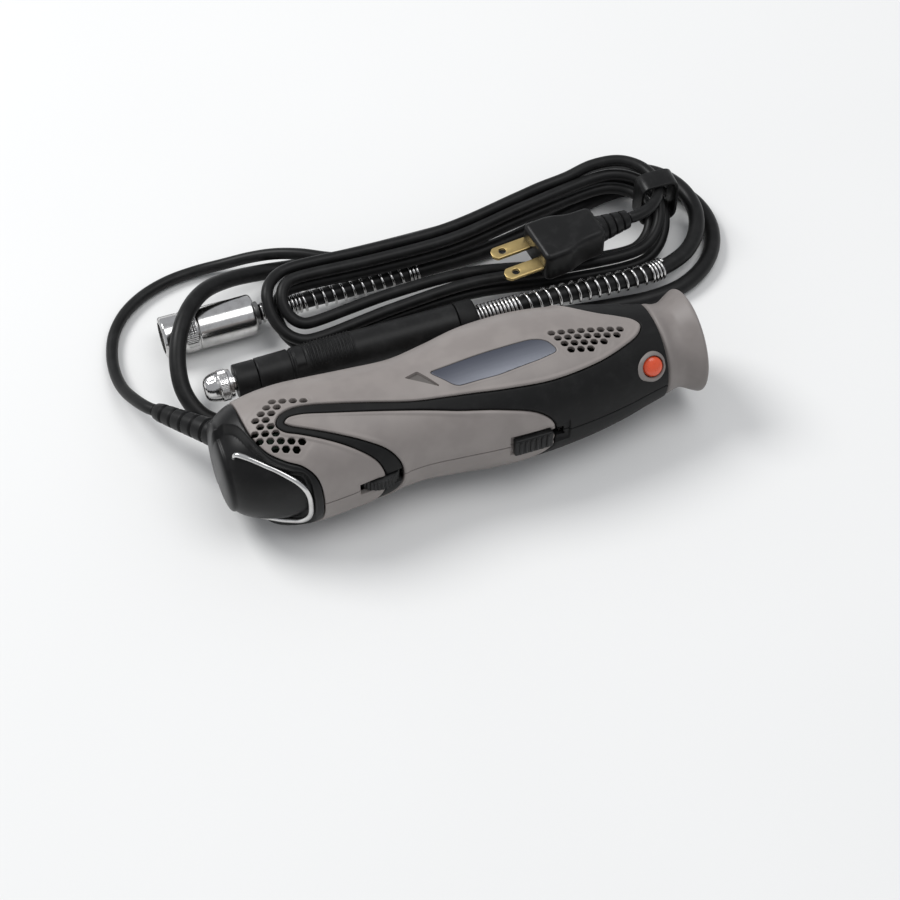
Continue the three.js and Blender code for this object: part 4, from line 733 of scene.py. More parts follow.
def to_vent(points):
    """Distance to the nearest vent: above zero outside it. A high power keeps its corners small."""
    best = np.full(len(points), 1e3)
    for place, along, down in VENTS:
        offset = points[:, :2] - place
        near = np.abs(offset).sum(axis=1) < VENT_REACH
        p, q = offset[near] @ along, offset[near] @ down * SQUARER
        sides = sum(np.abs(p * math.cos(a) + q * math.sin(a)) ** HEX_POWER
                    for a in (math.pi / 6, math.pi / 2, 5 * math.pi / 6)) ** (1 / HEX_POWER)
        best[near] = np.minimum(best[near], sides - HEX_ACROSS)
    return best


# Slots in the top ridge for the dial and the slide switch.
DIAL_X, DIAL_RADIUS, DIAL_WIDTH, DIAL_SLOT = BODY_TAIL + 59, 9.2, 5.0, 0.8
DIAL_Y = -19.47
SLIDER_FROM, SLIDER_LENGTH, SLIDER_WIDTH, SLIDER_TRAVEL, SLIDER_HEIGHT = -9.0, 16.0, 9.0, 7.0, 2.9
SLIDER_REACH = SLIDER_FROM + SLIDER_LENGTH + SLIDER_TRAVEL
WELL_FLOOR, WELL_MARGIN, WELL_EASE = 26.14, 1.0, 0.25
STEM_SLOT, STEM_SLOT_FROM, STEM_SLOT_SHORT = 2.5, SLIDER_FROM + 2, 1.5
DIAL_REACH = DIAL_RADIUS + DIAL_SLOT - 1
FAR_OFF = 50.0


def to_box(x_from, x_to, half):
    """Distance to a slot in the top ridge: above zero outside it."""
    def distance(points):
        dx = np.maximum(x_from - points[:, 0], points[:, 0] - x_to)
        dz = np.abs(points[:, 2] - AXIS) - half
        outside = np.hypot(np.maximum(dx, 0), np.maximum(dz, 0))
        flat = np.where(outside > 0, outside, np.maximum(dx, dz))
        return np.where(points[:, 1] < 0, flat, FAR_OFF)
    return distance


to_dial = to_box(DIAL_X - DIAL_REACH, DIAL_X + DIAL_REACH, DIAL_WIDTH / 2 + DIAL_SLOT)
to_well = to_box(SLIDER_FROM - WELL_MARGIN, SLIDER_REACH + WELL_MARGIN, SLIDER_WIDTH / 2 + WELL_MARGIN)
to_stem = to_box(STEM_SLOT_FROM, SLIDER_REACH - STEM_SLOT_SHORT, STEM_SLOT)

# The spindle lock's button lies on the viewer's side of the nose.
LOCK_ANGLE = math.radians(35)
LOCK_X, LOCK_OUT, LOCK_RADIUS = BODY_NOSE - 6.8, 22.1, 4.2
LOCK_AIM = (0, -math.cos(LOCK_ANGLE), math.sin(LOCK_ANGLE))
LOCK_SEAT = LOCK_RADIUS + 1.1


def to_lock(points):
    """Distance to the seat round the lock button: above zero outside it."""
    offset = points - np.array((LOCK_X, 0, AXIS))
    out = offset @ np.array(LOCK_AIM)
    beside = np.linalg.norm(offset - out[:, None] * np.array(LOCK_AIM), axis=1)
    return np.where(out > 0, beside - LOCK_SEAT, FAR_OFF)


def cut_openings(sheet):
    """Lines of the dial's slot and of the slide switch's slot and well."""
    sheet.cut(to_dial)
    sheet.cut(to_stem)
    sheet.cut(to_well, WELL_EASE, -WELL_EASE)


def well_depth(points):
    """How far the slide switch's well lies below the skin."""
    inside = smooth((WELL_EASE - to_well(points)) / (2 * WELL_EASE))
    return np.maximum(-WELL_FLOOR - points[:, 1], 0) * inside


def fillet(distance, radius):
    """How far an edge rounded at this radius lies below the surface, at a distance from it."""
    held = np.clip(radius - distance, 0, radius)
    return radius - np.sqrt(radius ** 2 - held ** 2)


def bead(distance, width, height):
    """A low round bead along an edge."""
    share = np.clip(distance / width, 0, 1)
    return height * np.sin(np.pi * share) ** 2


BELOW = True
NOWHERE = 1e-7
SEARCH_ROUNDS = 6


class Sheet:
    """A flat sheet of (x, angle) cells that is cut along distances and wrapped on the body."""

    def __init__(self, stations, angles):
        self.mesh = bmesh.new()
        grid = [[self.mesh.verts.new((x, a, 0)) for a in angles] for x in stations]
        for near, far in zip(grid, grid[1:]):
            for k in range(len(angles) - 1):
                self.mesh.faces.new((near[k], near[k + 1], far[k + 1], far[k]))

    @staticmethod
    def field(function, places):
        return function(body_point(places[:, 0], places[:, 1], 0))

    def places(self):
        self.mesh.verts.index_update()
        return np.array([v.co for v in self.mesh.verts])

    def cut(self, function, *levels):
        """Splits the cells along the lines where the distance has each level, or is zero."""
        for level in levels or (0,):
            self.split(function, level)

    def split(self, function, level):
        value = self.field(function, self.places()) - level
        value[np.abs(value) < NOWHERE] = NOWHERE
        crossing = [e for e in self.mesh.edges
                    if value[e.verts[0].index] * value[e.verts[1].index] < 0]
        if not crossing:
            return
        starts = [e.verts[0] for e in crossing]
        a = np.array([v.co for v in starts])
        b = np.array([e.verts[1].co for e in crossing])
        at_start = at_low = value[[v.index for v in starts]]
        at_high = value[[e.verts[1].index for e in crossing]]
        low, high = np.zeros(len(a)), np.ones(len(a))
        share = at_low / (at_low - at_high)
        for _ in range(SEARCH_ROUNDS):
            middle = self.field(function, a + (b - a) * share[:, None]) - level
            same = np.sign(middle) == np.sign(at_start)
            low, high = np.where(same, share, low), np.where(same, high, share)
            at_low, at_high = np.where(same, middle, at_low), np.where(same, at_high, middle)
            share = low + (high - low) * np.clip(at_low / (at_low - at_high + 1e-12), 0.05, 0.95)
        touched = {}
        for edge, near, split in zip(crossing, starts, share):
            faces = list(edge.link_faces)
            _, vert = bmesh.utils.edge_split(edge, near, float(split))
            for face in faces:
                touched.setdefault(face, []).append(vert)
        for face, verts in touched.items():
            if len(verts) == 2:
                bmesh.utils.face_split(face, *verts)

    def keep(self, *tests):
        """Keeps the cells whose middles lie above each level, or below it where the test says BELOW."""
        faces = list(self.mesh.faces)
        middles = np.array([f.calc_center_median() for f in faces])
        kept = np.ones(len(faces), dtype=bool)
        for function, level, *below in tests:
            kept &= (self.field(function, middles) - level) * (-1 if below else 1) > 0
        bmesh.ops.delete(self.mesh, geom=[f for f, k in zip(faces, kept) if not k], context="FACES")

    def wrap(self, name, depth, skirt, open_x=None):
        """Puts the sheet on the body at a depth, with a skirt turned in along its edges."""
        bmesh.ops.triangulate(self.mesh, faces=[f for f in self.mesh.faces if len(f.verts) > 4])
        x, angle = self.places()[:, :2].T
        points = list(body_point(x, angle, depth(body_point(x, angle, 0))))
        low = body_point(x, angle, skirt)
        faces = [[v.index for v in reversed(f.verts)] for f in self.mesh.faces]
        rims = {}
        for edge in self.mesh.edges:
            if not edge.is_boundary:
                continue
            order = [v.index for v in reversed(edge.link_faces[0].verts)]
            a, b = edge.verts[0].index, edge.verts[1].index
            if order[(order.index(a) + 1) % len(order)] != b:
                a, b = b, a
            if open_x is not None and max(abs(x[a] - open_x), abs(x[b] - open_x)) < 1e-4:
                continue
            for k in (a, b):
                if k not in rims:
                    rims[k] = len(points)
                    points.append(low[k])
            faces.append((b, a, rims[a], rims[b]))
        self.mesh.free()
        return piece_from(name, points, faces)


def steps_through(*stretches):
    """Stations from stretches of (from, to, step)."""
    marks = []
    for start, end, step in stretches:
        marks += list(np.linspace(start, end, max(2, int(round((end - start) / step)) + 1)))
    return sorted(set(np.round(marks, 4)))


STATIONS = steps_through(
    (BODY_TAIL + 0.5, -112, 0.8), (-112, -80, 0.42), (-80, 13, 1.0), (13, 50, 0.42),
    (50, BODY_NOSE, 1.0))
SEAM_ANGLE = 0.0045
HALF_TURN = [SEAM_ANGLE, 0.008, 0.014, 0.022] + list(np.linspace(0.035, 1.18, 26)) + list(
    np.linspace(1.19, 2.40, 84)) + list(np.linspace(2.42, math.pi - 0.035, 22)) + [
    math.pi - 0.022, math.pi - 0.014, math.pi - 0.008, math.pi - SEAM_ANGLE]


JOINT = GAP / 2


def to_seam(points):
    return np.abs(points[:, 2] - AXIS) - JOINT


EDGE, GRIP_EDGE, CAP_EDGE, VENT_EDGE, FILM_EDGE = 0.5, 0.6, 0.8, 0.3, 0.2
EDGE_LEVELS = (0.04, 0.16, EDGE)
VENT_LEVELS = (0.04, 0.13, VENT_EDGE)
BEAD_WIDTH, BEAD_HEIGHT = 1.9, 0.34
RIM_EDGE, RIM_WIDTH, RIM_HEIGHT = 0.3, 1.2, 0.12
FIELD_REACH, FIELD_SLOPE, FIELD_DEPTH = 2.6, 1.2, 0.16
NOTCH_OUT, NOTCH_IN = -0.1, 0.2
SEAM_EASE = 0.1
GRIP_SINK, CAP_SINK, FILM_SINK = 0.12, 0.1, 0.2


def shell_depth(points):
    """Rounded edges, a bead along the grip, and a field let in round the vents."""
    grip, cap, vent = -to_grip(points), -to_cap(points), to_vent(points)
    edge = np.minimum.reduce([grip - JOINT, cap - JOINT, to_seam(points) + SEAM_EASE, to_dial(points)])
    field = smooth((FIELD_REACH - vent) / FIELD_SLOPE) * smooth(grip / 2) * FIELD_DEPTH
    rise = bead(grip, BEAD_WIDTH, BEAD_HEIGHT) * smooth(to_well(points))
    return fillet(edge, EDGE) + fillet(vent, VENT_EDGE) - rise + field + well_depth(points)


def left_shell_depth(points):
    """The same with the label's raised rim and the three-sided notch."""
    label = -to_label(points)
    rim = fillet(label, RIM_EDGE) - bead(label, RIM_WIDTH, RIM_HEIGHT)
    notch = NOTCH_DEPTH * smooth((to_notch(points) - NOTCH_OUT) / (NOTCH_IN - NOTCH_OUT))
    return shell_depth(points) + np.where(points[:, 2] > AXIS, rim + notch, 0)


def angles_of(upward):
    return HALF_TURN if upward else [angle + math.pi for angle in HALF_TURN]


def add_shell(name, upward, node):
    """Half of the grey shell; the upper half has the label's panel."""
    sheet = Sheet(STATIONS, angles_of(upward))
    for level in EDGE_LEVELS:
        sheet.cut(to_grip, -JOINT - level)
        sheet.cut(to_cap, -JOINT - level)
        if upward:
            sheet.cut(to_label, -level)
    sheet.cut(to_vent, *VENT_LEVELS)
    sheet.cut(to_grip, -JOINT, -BEAD_WIDTH)
    sheet.cut(to_cap, -JOINT)
    sheet.cut(to_vent)
    cut_openings(sheet)
    tests = [(to_grip, -JOINT, BELOW), (to_cap, -JOINT, BELOW), (to_vent, 0), (to_dial, 0), (to_stem, 0)]
    if upward:
        sheet.cut(to_label)
        sheet.cut(to_notch, NOTCH_OUT, NOTCH_IN)
        tests.append((to_label, 0, BELOW))
    sheet.keep(*tests)
    shell = sheet.wrap(name, left_shell_depth if upward else shell_depth, WALL)
    shade_by_angle(shell)
    hold(shell, GREY_SHELL, "grey_shell", node)


def flat_at(depth):
    return lambda points: np.full(len(points), depth)


LINER_REACH, LINER_TOP, LINER_BOTTOM, LINER_CLEAR = 1.6, 2.8, 3.2, 0.5


def add_liner(name, angles):
    """The black layer that the grip's edges are bonded to, which closes the joint to the shell."""
    sheet = Sheet(STATIONS, angles)
    tests = [(to_grip, -LINER_REACH), (to_vent, LINER_CLEAR), (to_dial, 0), (to_stem, 0), (to_lock, 0)]
    for function, level in tests:
        sheet.cut(function, level)
    sheet.keep(*tests)
    return sheet.wrap(name, flat_at(LINER_TOP), LINER_BOTTOM)


def add_grip(name, upward, node):
    """Half of the soft grip, with its liner."""
    sheet = Sheet(STATIONS, angles_of(upward))
    sheet.cut(to_grip, *(JOINT + level for level in (0.02, *EDGE_LEVELS, 0)))
    cut_openings(sheet)
    sheet.cut(to_lock)
    sheet.keep((to_grip, JOINT), (to_dial, 0), (to_stem, 0), (to_lock, 0))

    def depth(points):
        edge = np.minimum.reduce([to_grip(points) - JOINT, to_seam(points) + SEAM_EASE, to_dial(points)])
        return GRIP_SINK + fillet(edge, GRIP_EDGE) + well_depth(points)
    skin = sheet.wrap(name, depth, SKIN_DEPTH)
    grip = joined(name, [skin, add_liner(name, angles_of(upward))])
    shade_by_angle(grip)
    hold(grip, SOFT_GRIP, "soft_grip", node)


def add_tail_cap():
    """The rubber cap over the tail's dome, with its slanting recess."""
    dome = [BODY_TAIL + TAIL_DOME * (1 - math.cos(t)) for t in np.linspace(0, math.pi / 2, 14)]
    sheet = Sheet(dome + steps_through((BODY_TAIL + TAIL_DOME + 0.6, -80, 0.7)),
                  list(np.linspace(0, 2 * math.pi, 241)))
    sheet.cut(to_cap, *(JOINT + level for level in EDGE_LEVELS))
    sheet.cut(to_recess, *np.linspace(-RECESS_SLOPE, RECESS_SLOPE, 9))
    sheet.cut(to_cap, JOINT)
    sheet.keep((to_cap, JOINT))

    def depth(points):
        hollow = smooth((to_recess(points) / RECESS_SLOPE + 1) / 2)
        return CAP_SINK + fillet(to_cap(points) - JOINT, CAP_EDGE) + RECESS_DEPTH * hollow
    cap = sheet.wrap("tail_cap_rubber", depth, RECESS_DEPTH + WALL, open_x=BODY_TAIL)
    merged(cap, 2e-6, turn_out=False)
    shade_by_angle(cap, 50)
    hold(cap, TAIL_RUBBER, "soft_grip", "tail_cap")


def add_label_film():
    sheet = Sheet(steps_through((-38, 20, 1.0)), [a for a in HALF_TURN if 0.9 < a < 2.6])
    sheet.cut(to_label, FILM_EDGE, 0.5, JOINT)
    sheet.keep((to_label, JOINT))
    film = sheet.wrap("rating_film", lambda p: FILM_SINK + fillet(to_label(p) - JOINT, FILM_EDGE),
                      LABEL_DEPTH)
    shade_by_angle(film)
    hold(film, FILM, "label_film", "label_film")


add_shell("left_shell_skin", True, "left_shell")
add_shell("right_shell_skin", False, "right_shell")
add_grip("left_grip_skin", True, "left_grip")
add_grip("right_grip_skin", False, "right_grip")
add_tail_cap()
add_label_film()


# Pieces turned or swept, with what runs over them worked in as a rise of the radius.
SECTOR_EASE = 0.13


def profile_radius(profile, long, wide):
    """The radius at a length along a profile, whose corners are shares of a length and a radius."""
    marks, radii = np.array(profile).T
    return lambda mark: np.interp(mark, marks * long, radii * wide)


def ridge(value, centre, half, slope):
    """1 on a ridge about a centre, 0 beside it."""
    return float(smooth((half + slope / 2 - abs(value - centre)) / slope))


def around(angles, middle, half):
    """How far angles lie within a sector: 1 inside it, 0 outside."""
    away = np.abs(np.angle(np.exp(1j * (angles - middle))))
    return smooth((half - away) / SECTOR_EASE)


def knurl(angles, mark, dots, lead):
    """Crossed spiral grooves, between -1 and 1."""
    return np.cos(dots * angles + lead * mark) * np.cos(dots * angles - lead * mark)


def cut_by(piece, cutter):
    finish_with(piece, "BOOLEAN", operation="DIFFERENCE", solver="EXACT", object=cutter)
    bpy.data.objects.remove(cutter, do_unlink=True)


# The nose collar.
COLLAR_FROM = BODY_NOSE + 0.5


def add_collar():
    outside = through([(0, 0, 17.9), (1.2, 0, 18.7), (4.9, 0, 17.75), (8.2, 0, 17.8), (12.4, 0, 20.0),
                       (15.2, 0, 21.3), (15.9, 0, 21.1), (16.5, 0, 20.3)], 6)
    profile = [(0, 13.9)] + [(x, r) for x, _, r in outside] + [
        (16.5, 17.2), (16.0, 16.5), (11.7, 15.2), (8, 15.2), (8, 13.9), (0, 13.9)]
    collar = turned("collar", [(COLLAR_FROM + x, r) for x, r in profile], (0, AXIS), 128)
    shade_by_angle(collar, 42)
    hold(collar, GREY_TRIM, "grey_trim", "nose_collar")


add_collar()


# The spindle lock's button under its hood.
BUTTON_DROPS = [(-4.2, LOCK_RADIUS), (-4.2, 0), (-1.6, 0), (-1.1, 0.1), (-0.6, 0.45), (-0.2, 1.1),
                (0.1, 2.0), (0.3, 3.1), (0.36, LOCK_RADIUS)]


def add_button():
    """A domed button, from (height, drop below its radius) corners."""
    button = turned("button", [(x, LOCK_RADIUS - drop) for x, drop in BUTTON_DROPS], (0, 0), 64)
    shade_by_angle(button, 60)
    out = Vector(LOCK_AIM)
    side = Vector((1, 0, 0)).cross(out).normalized()
    turn = Matrix((out, side, out.cross(side))).transposed().to_4x4()
    moved(button, turn, Vector((LOCK_X, 0, AXIS)) + LOCK_OUT * out)
    hold(button, RED_BUTTON, "red_button", "lock_button", body="lock")


HOOD_FOOT, HOOD_LIP, HOOD_RIM, HOOD_SLOPE = 17.2, 21.3, 20.9, 0.17
HOOD_REACH, HOOD_POINT, HOOD_FRONT, HOOD_WIDER = 5.9, 2.4, 5.7, 1.04


def add_hood():
    """A teardrop frame round the button, pointed towards the tail."""
    turns = np.linspace(0, 2 * math.pi, 72, endpoint=False)
    c, s = np.cos(turns), np.sin(turns)
    inner = (LOCK_RADIUS + GAP) * np.column_stack((c, s))
    reach = HOOD_REACH + HOOD_POINT * np.maximum(0, -c) ** 5
    outer = np.column_stack((np.minimum(reach * c, HOOD_FRONT), reach * s * HOOD_WIDER))
    out, along = np.array(LOCK_AIM), np.array((1, 0, 0))
    rings = []
    for share, height in ((0, HOOD_FOOT), (0, HOOD_LIP), (0.2, HOOD_LIP + 0.5), (0.65, HOOD_LIP + 0.35),
                          (1, HOOD_RIM), (1, HOOD_FOOT)):
        x, y = (inner * (1 - share) + outer * share).T[:, :, None]
        rings.append(np.array((LOCK_X, 0, AXIS)) + x * along + y * np.cross(out, along)
                     + (height - HOOD_SLOPE * x) * out)
    hood = merged(skinned("button_hood", rings, closed=True))
    shade_by_angle(hood, 50)
    hold(hood, GREY_TRIM, "grey_trim", "lock_bezel")


add_button()
add_hood()


# The hanging bail.
BAIL_WIRE = 1.1
BAIL_PIVOT = np.array((BODY_TAIL + 0.0357 * BODY_LENGTH, -0.273 * BODY_RADIUS))
BAIL_CROWN = np.array((BODY_TAIL + 0.1648 * BODY_LENGTH, -0.92 * BODY_RADIUS))
BAIL_SIDE = 0.6133 * BODY_RADIUS
BAIL_SHARES = [(0, 0.52), (0, 0.93), (0.03, 1), (0.14, 1.01), (0.27, 0.98), (0.43, 0.92), (0.57, 0.87),
               (0.70, 0.79), (0.83, 0.69), (0.91, 0.57), (0.96, 0.44), (0.99, 0.27), (1, 0.09)]


def add_bail():
    side = [(*(BAIL_PIVOT + (BAIL_CROWN - BAIL_PIVOT) * out), AXIS + BAIL_SIDE * over)
            for out, over in BAIL_SHARES]
    route = side + [(x, y, 2 * AXIS - z) for x, y, z in reversed(side)]
    bail = tube("bail", spaced(through(route), 0.5), BAIL_WIRE, 20)
    hold(bail, WIRE_STEEL, "bright_steel", "hanging_bail", body="bail")


add_bail()


# Speed dial and slide switch.
DIAL_TEETH, DIAL_TOOTH, DIAL_EASE, DIAL_DROP = 36, 0.28, 0.6, 0.55


def add_dial():
    def radius(mark, angles):
        edge = min(mark, DIAL_WIDTH - mark)
        eased = 1 - math.sqrt(1 - (1 - min(edge / DIAL_EASE, 1)) ** 2)
        teeth = DIAL_TOOTH * (1 - np.cos(DIAL_TEETH * angles)) * min(edge / 0.5, 1)
        return DIAL_RADIUS - DIAL_DROP * eased - teeth
    low, high = ((DIAL_X, DIAL_Y, AXIS + side * DIAL_WIDTH / 2) for side in (-1, 1))
    dial = worked("thumb_dial", straight(low, high, 0.2), radius, 8 * DIAL_TEETH)
    hold(dial, STRAP_PLASTIC, "black_plastic", "speed_dial", body="dial")


def block(name, low, high):
    """A box between two corners."""
    bpy.ops.mesh.primitive_cube_add(size=1, location=placed((np.array(low) + np.array(high)) / 2))
    piece = bpy.context.object
    piece.name = name
    piece.scale = [(b - a) * MM for a, b in zip(low, high)]
    bpy.ops.object.transform_apply(location=True, rotation=True, scale=True)
    return piece


SLIDER_RIBS, RIB_HALF, RIB_RISE, RIB_ROOT, RIB_SHORTER = 6, 0.6, 0.55, 0.4, 0.9
STEM_HALF, STEM_FRONT, STEM_BACK = 2.1, 2.6, 4.4


def add_slider():
    """The thumb piece with its cross ribs, on a stem that goes down through the slot."""
    foot, half, end = -(WELL_FLOOR + GAP), SLIDER_WIDTH / 2, SLIDER_FROM + SLIDER_LENGTH
    top = foot - SLIDER_HEIGHT
    base = block("slider", (SLIDER_FROM, top, AXIS - half), (end, foot, AXIS + half))
    softened(base, 0.7, 4)
    stem = block("stem", (SLIDER_FROM + STEM_FRONT, foot - 1, AXIS - STEM_HALF),
                 (end - STEM_BACK, foot + 2.8, AXIS + STEM_HALF))
    pieces = [base, stem]
    half -= RIB_SHORTER
    for k in range(SLIDER_RIBS):
        middle = SLIDER_FROM + SLIDER_LENGTH * (k + 1) / (SLIDER_RIBS + 1)
        rib = block("rib", (middle - RIB_HALF, top - RIB_RISE, AXIS - half),
                    (middle + RIB_HALF, top + RIB_ROOT, AXIS + half))
        pieces.append(softened(rib, 0.35, 3))
    hold(joined("slider", pieces), STRAP_PLASTIC, "black_plastic", "switch_slider", body="switch")


add_dial()
add_slider()

# The strain relief at the tail: ribs that grow smaller towards the cord.
GROOVE_SHARE, TIP_SHARE, TIP_DROP = 0.16, 14, 0.35


def ribbed(name, line, base, end, ribs, groove):
    total = lengths_along(line)[-1]

    def radius(mark, angles):
        share = mark / total
        turn = (share * ribs) % 1
        rise = smooth(min(turn, 1 - turn) / GROOVE_SHARE)
        tip = smooth(min(share * TIP_SHARE, (1 - share) * TIP_SHARE, 1))
        taper = base + (end - base) * share
        return np.full(len(angles), taper - groove * (1 - rise) - TIP_DROP * (1 - tip))
    return worked(name, line, radius, 32)


RELIEF = ribbed("cord_relief", spaced(through(RELIEF_LINE), 0.25), base=6.4, end=3.7, ribs=9, groove=1.0)
hold(RELIEF, CORD_JACKET, "cord_jacket", "strain_relief")


# The handpiece.
HAND_GRIP_FROM, HAND_GRIP_TO, HAND_NECK = -91.3, -5.3, -76.8
FINE_RIBS = [-89.9 + 0.76 * k for k in range(12)]
PANEL_RIBS = [-69.4 + 1.42 * k for k in range(14)]
GRIP_SHAPE = ([HAND_GRIP_FROM, HAND_NECK, -60, HAND_GRIP_TO], [7.45, 7.7, 7.8, 7.8])
NECK, PAD, PANEL = (HAND_NECK, 0.5, 0.5), (-73.4, 2.1, 0.5), (-60.2, 10.2, 0.6)
FINE_SECTOR, PANEL_SECTOR, PAD_SECTOR = (math.radians(150), 0.85), (0, 1.0), (0, 0.8)
FINE_HEIGHT, RIB_HEIGHT, PANEL_HEIGHT, PAD_HEIGHT, NECK_DEPTH = 0.26, 0.5, 0.12, 0.42, 0.6
HAND_EASE, HAND_DROP = 0.6, 0.5


def along_hand(start, end, step):
    return straight((start, HAND_Y, HAND_Z), (end, HAND_Y, HAND_Z), step)


def add_hand_grip():
    """The grip: fine ribs at its front below, a pad and a raised ribbed panel above."""
    length = HAND_GRIP_TO - HAND_GRIP_FROM

    def radius(mark, angles):
        x = HAND_GRIP_FROM + mark
        end = 1 - min(mark / HAND_EASE, (length - mark) / HAND_EASE, 1)
        base = np.interp(x, *GRIP_SHAPE) - HAND_DROP * (1 - math.sqrt(1 - end ** 2))
        fine = FINE_HEIGHT * sum(ridge(x, rib, 0.16, 0.26) for rib in FINE_RIBS)
        ribs = RIB_HEIGHT * sum(ridge(x, rib, 0.28, 0.4) for rib in PANEL_RIBS)
        return (base - NECK_DEPTH * ridge(x, *NECK) + fine * around(angles, *FINE_SECTOR)
                + (PANEL_HEIGHT + ribs) * ridge(x, *PANEL) * around(angles, *PANEL_SECTOR)
                + PAD_HEIGHT * ridge(x, *PAD) * around(angles, *PAD_SECTOR))
    grip = worked("hand_grip_body", along_hand(HAND_GRIP_FROM, HAND_GRIP_TO, 0.14), radius, 96)
    hold(grip, HAND_PLASTIC, "black_plastic", "hand_grip")


def ringed(name, x, radii, place, material, slot, node, width=0.4):
    """A turned ring: stations and radii of its outside, closed along its bore, with rounded edges."""
    outside = list(zip(x, radii))
    piece = turned(name, outside + [outside[0]], place, 72)
    return hold(softened(piece, width, 3), material, slot, node)


NUT_LENGTH, NUT_RADIUS, DOT_HEIGHT, FLAT_DEPTH = 12.0, 6.2, 0.14, 0.35
NUT_SHARES = [
    (0, 0.30), (0.004, 0.40), (0.03, 0.56), (0.08, 0.70), (0.14, 0.80), (0.22, 0.88), (0.34, 0.96),
    (0.45, 1), (0.50, 1.01), (0.515, 0.97), (0.53, 1.02), (0.55, 1.04), (0.84, 1.04), (0.86, 1.02),
    (0.875, 0.98), (0.98, 0.95), (1, 0.86)]


def add_hand_nut():
    """The chuck: a ball-like nut with three flats, and a knurl behind its shoulder."""
    profile = profile_radius(NUT_SHARES, NUT_LENGTH, NUT_RADIUS)

    def radius(mark, angles):
        share = mark / NUT_LENGTH
        dots = DOT_HEIGHT * ridge(share, 0.695, 0.13, 0.03) * knurl(angles, mark, 30, 5.2)
        flats = FLAT_DEPTH * ridge(share, 0.3, 0.12, 0.05) * np.maximum(0, np.cos(3 * angles)) ** 8
        return profile(mark) + dots - flats
    nut = worked("chuck_nut", along_hand(HAND_NUT, HAND_NUT + NUT_LENGTH, 0.12), radius, 240)
    hold(nut, NUT_STEEL, "bright_steel", "hand_nut", body="hand_rotor")


add_hand_grip()
ringed("hand_front", (-100.6, -100.6, -100.2, -91.6, -91.6), (3.9, 7.0, 7.25, 7.25, 3.9),
       (HAND_Y, HAND_Z), HAND_PLASTIC, "black_plastic", "hand_front_cap")
ringed("hand_ring", (-5, -5, -4.4, 2.2, 3, 3), (3.9, 7.9, 8.05, 8.05, 7.4, 3.9),
       (HAND_Y, HAND_Z), SOFT_GRIP, "soft_grip", "hand_rear_ring")
add_hand_nut()


# The coupling nut and its ferrule.
SLEEVE_SHARES = [
    (0, 0.86), (0.006, 0.955), (0.025, 1), (0.19, 1), (0.2, 0.985), (0.207, 0.95), (0.215, 0.985),
    (0.225, 1), (0.36, 1), (0.368, 0.985), (0.375, 0.95), (0.382, 0.985), (0.392, 1), (0.955, 1),
    (0.975, 0.985), (0.99, 0.94), (1, 0.86)]
SLEEVE_BORE, SLEEVE_STEP, SLEEVE_NECK, SLEEVE_DOT = 6.7, -97.2, 5.3, 0.16


def add_coupling():
    profile = profile_radius(SLEEVE_SHARES, COUPLE_LENGTH, COUPLE_RADIUS)

    def radius(mark, angles):
        band = ridge(mark / COUPLE_LENGTH, 0.292, 0.062, 0.006)
        return profile(mark) + SLEEVE_DOT * band * knurl(angles, mark, 34, 4.6)
    start, end = ((x, COUPLE_Y, COUPLE_Z) for x in (COUPLE_FROM, COUPLE_FROM + COUPLE_LENGTH))
    nut = worked("coupling_sleeve", straight(start, end, 0.2), radius, 240)
    bore = [(start[0] - 1, 0), (start[0] - 1, SLEEVE_BORE), (SLEEVE_STEP, SLEEVE_BORE),
            (SLEEVE_STEP, SLEEVE_NECK), (end[0] + 1, SLEEVE_NECK), (end[0] + 1, 0)]
    cut_by(nut, turned("bore", bore, (COUPLE_Y, COUPLE_Z), 96))
    shade_by_angle(nut, 35)
    hold(nut, NUT_STEEL, "bright_steel", "coupling_nut", body="coupling")


add_coupling()
FERRULE = ringed("hose_ferrule", (-99.9, -99.9, -97.5, -97.5, -80, -80), (2.5, 6.4, 6.4, 5, 5, 2.5),
                 (COUPLE_Y, COUPLE_Z), DARK_STEEL, "dark_steel", "coupling_ferrule", 0.3)


# Springs over the sheath's two ends.
SPRING_WIRE, CURL_STEPS = 0.6, 24
SPRING_RADIUS = SHEATH_RADIUS + SPRING_WIRE + 0.12
CLOSE, OPEN = 1.62, 4.4


def add_spring(name, line, start, curls, node):
    """A spring of (curls, pitch) stretches round a line, from a length along it."""
    pitches = np.repeat([pitch for _, pitch in curls], [CURL_STEPS * count for count, _ in curls])
    marks = start + np.concatenate(([0], np.cumsum(pitches / CURL_STEPS)))
    angles = 2 * math.pi / CURL_STEPS * np.arange(len(marks))[:, None]
    tangents, across = carried(line)
    side = read_at(marks, line, across)
    up = np.cross(read_at(marks, line, tangents), side)
    wire = read_at(marks, line, line) + SPRING_RADIUS * (np.cos(angles) * side + np.sin(angles) * up)
    return hold(tube(name, wire, SPRING_WIRE, 10), SPRING_STEEL, "bright_steel", node)


FRONT_SPRING = add_spring("front_spring_wire", SHEATH_LINE, 0.6,
                          [(11, CLOSE), (14, OPEN), (4, CLOSE)], "front_spring")
REAR_SPRING = add_spring("rear_spring_wire", SHEATH_LINE[::-1], 0.9,
                         [(11, CLOSE), (11, OPEN), (3, CLOSE)], "rear_spring")


# The plug, lying on the hank.
PLUG_RELIEF, PLUG_LENGTH, PLUG_FRONT, PLUG_BACK, PLUG_THICK = 15.0, 30.0, 23.0, 17.0, 15.0
PLUG_TURN = Matrix.Rotation(math.pi + PLUG_TILT, 4, "Z")
PLUG_END = PLUG_RELIEF + PLUG_LENGTH
BLADE_LENGTH, BLADE_WIDTH, BLADE_THICK, BLADE_APART = 17.0, 6.35, 1.5, 12.7
BLADE_HOLE, BLADE_HOLE_AT, BLADE_TAPER = 1.6, 12, (1.6, 1.8)


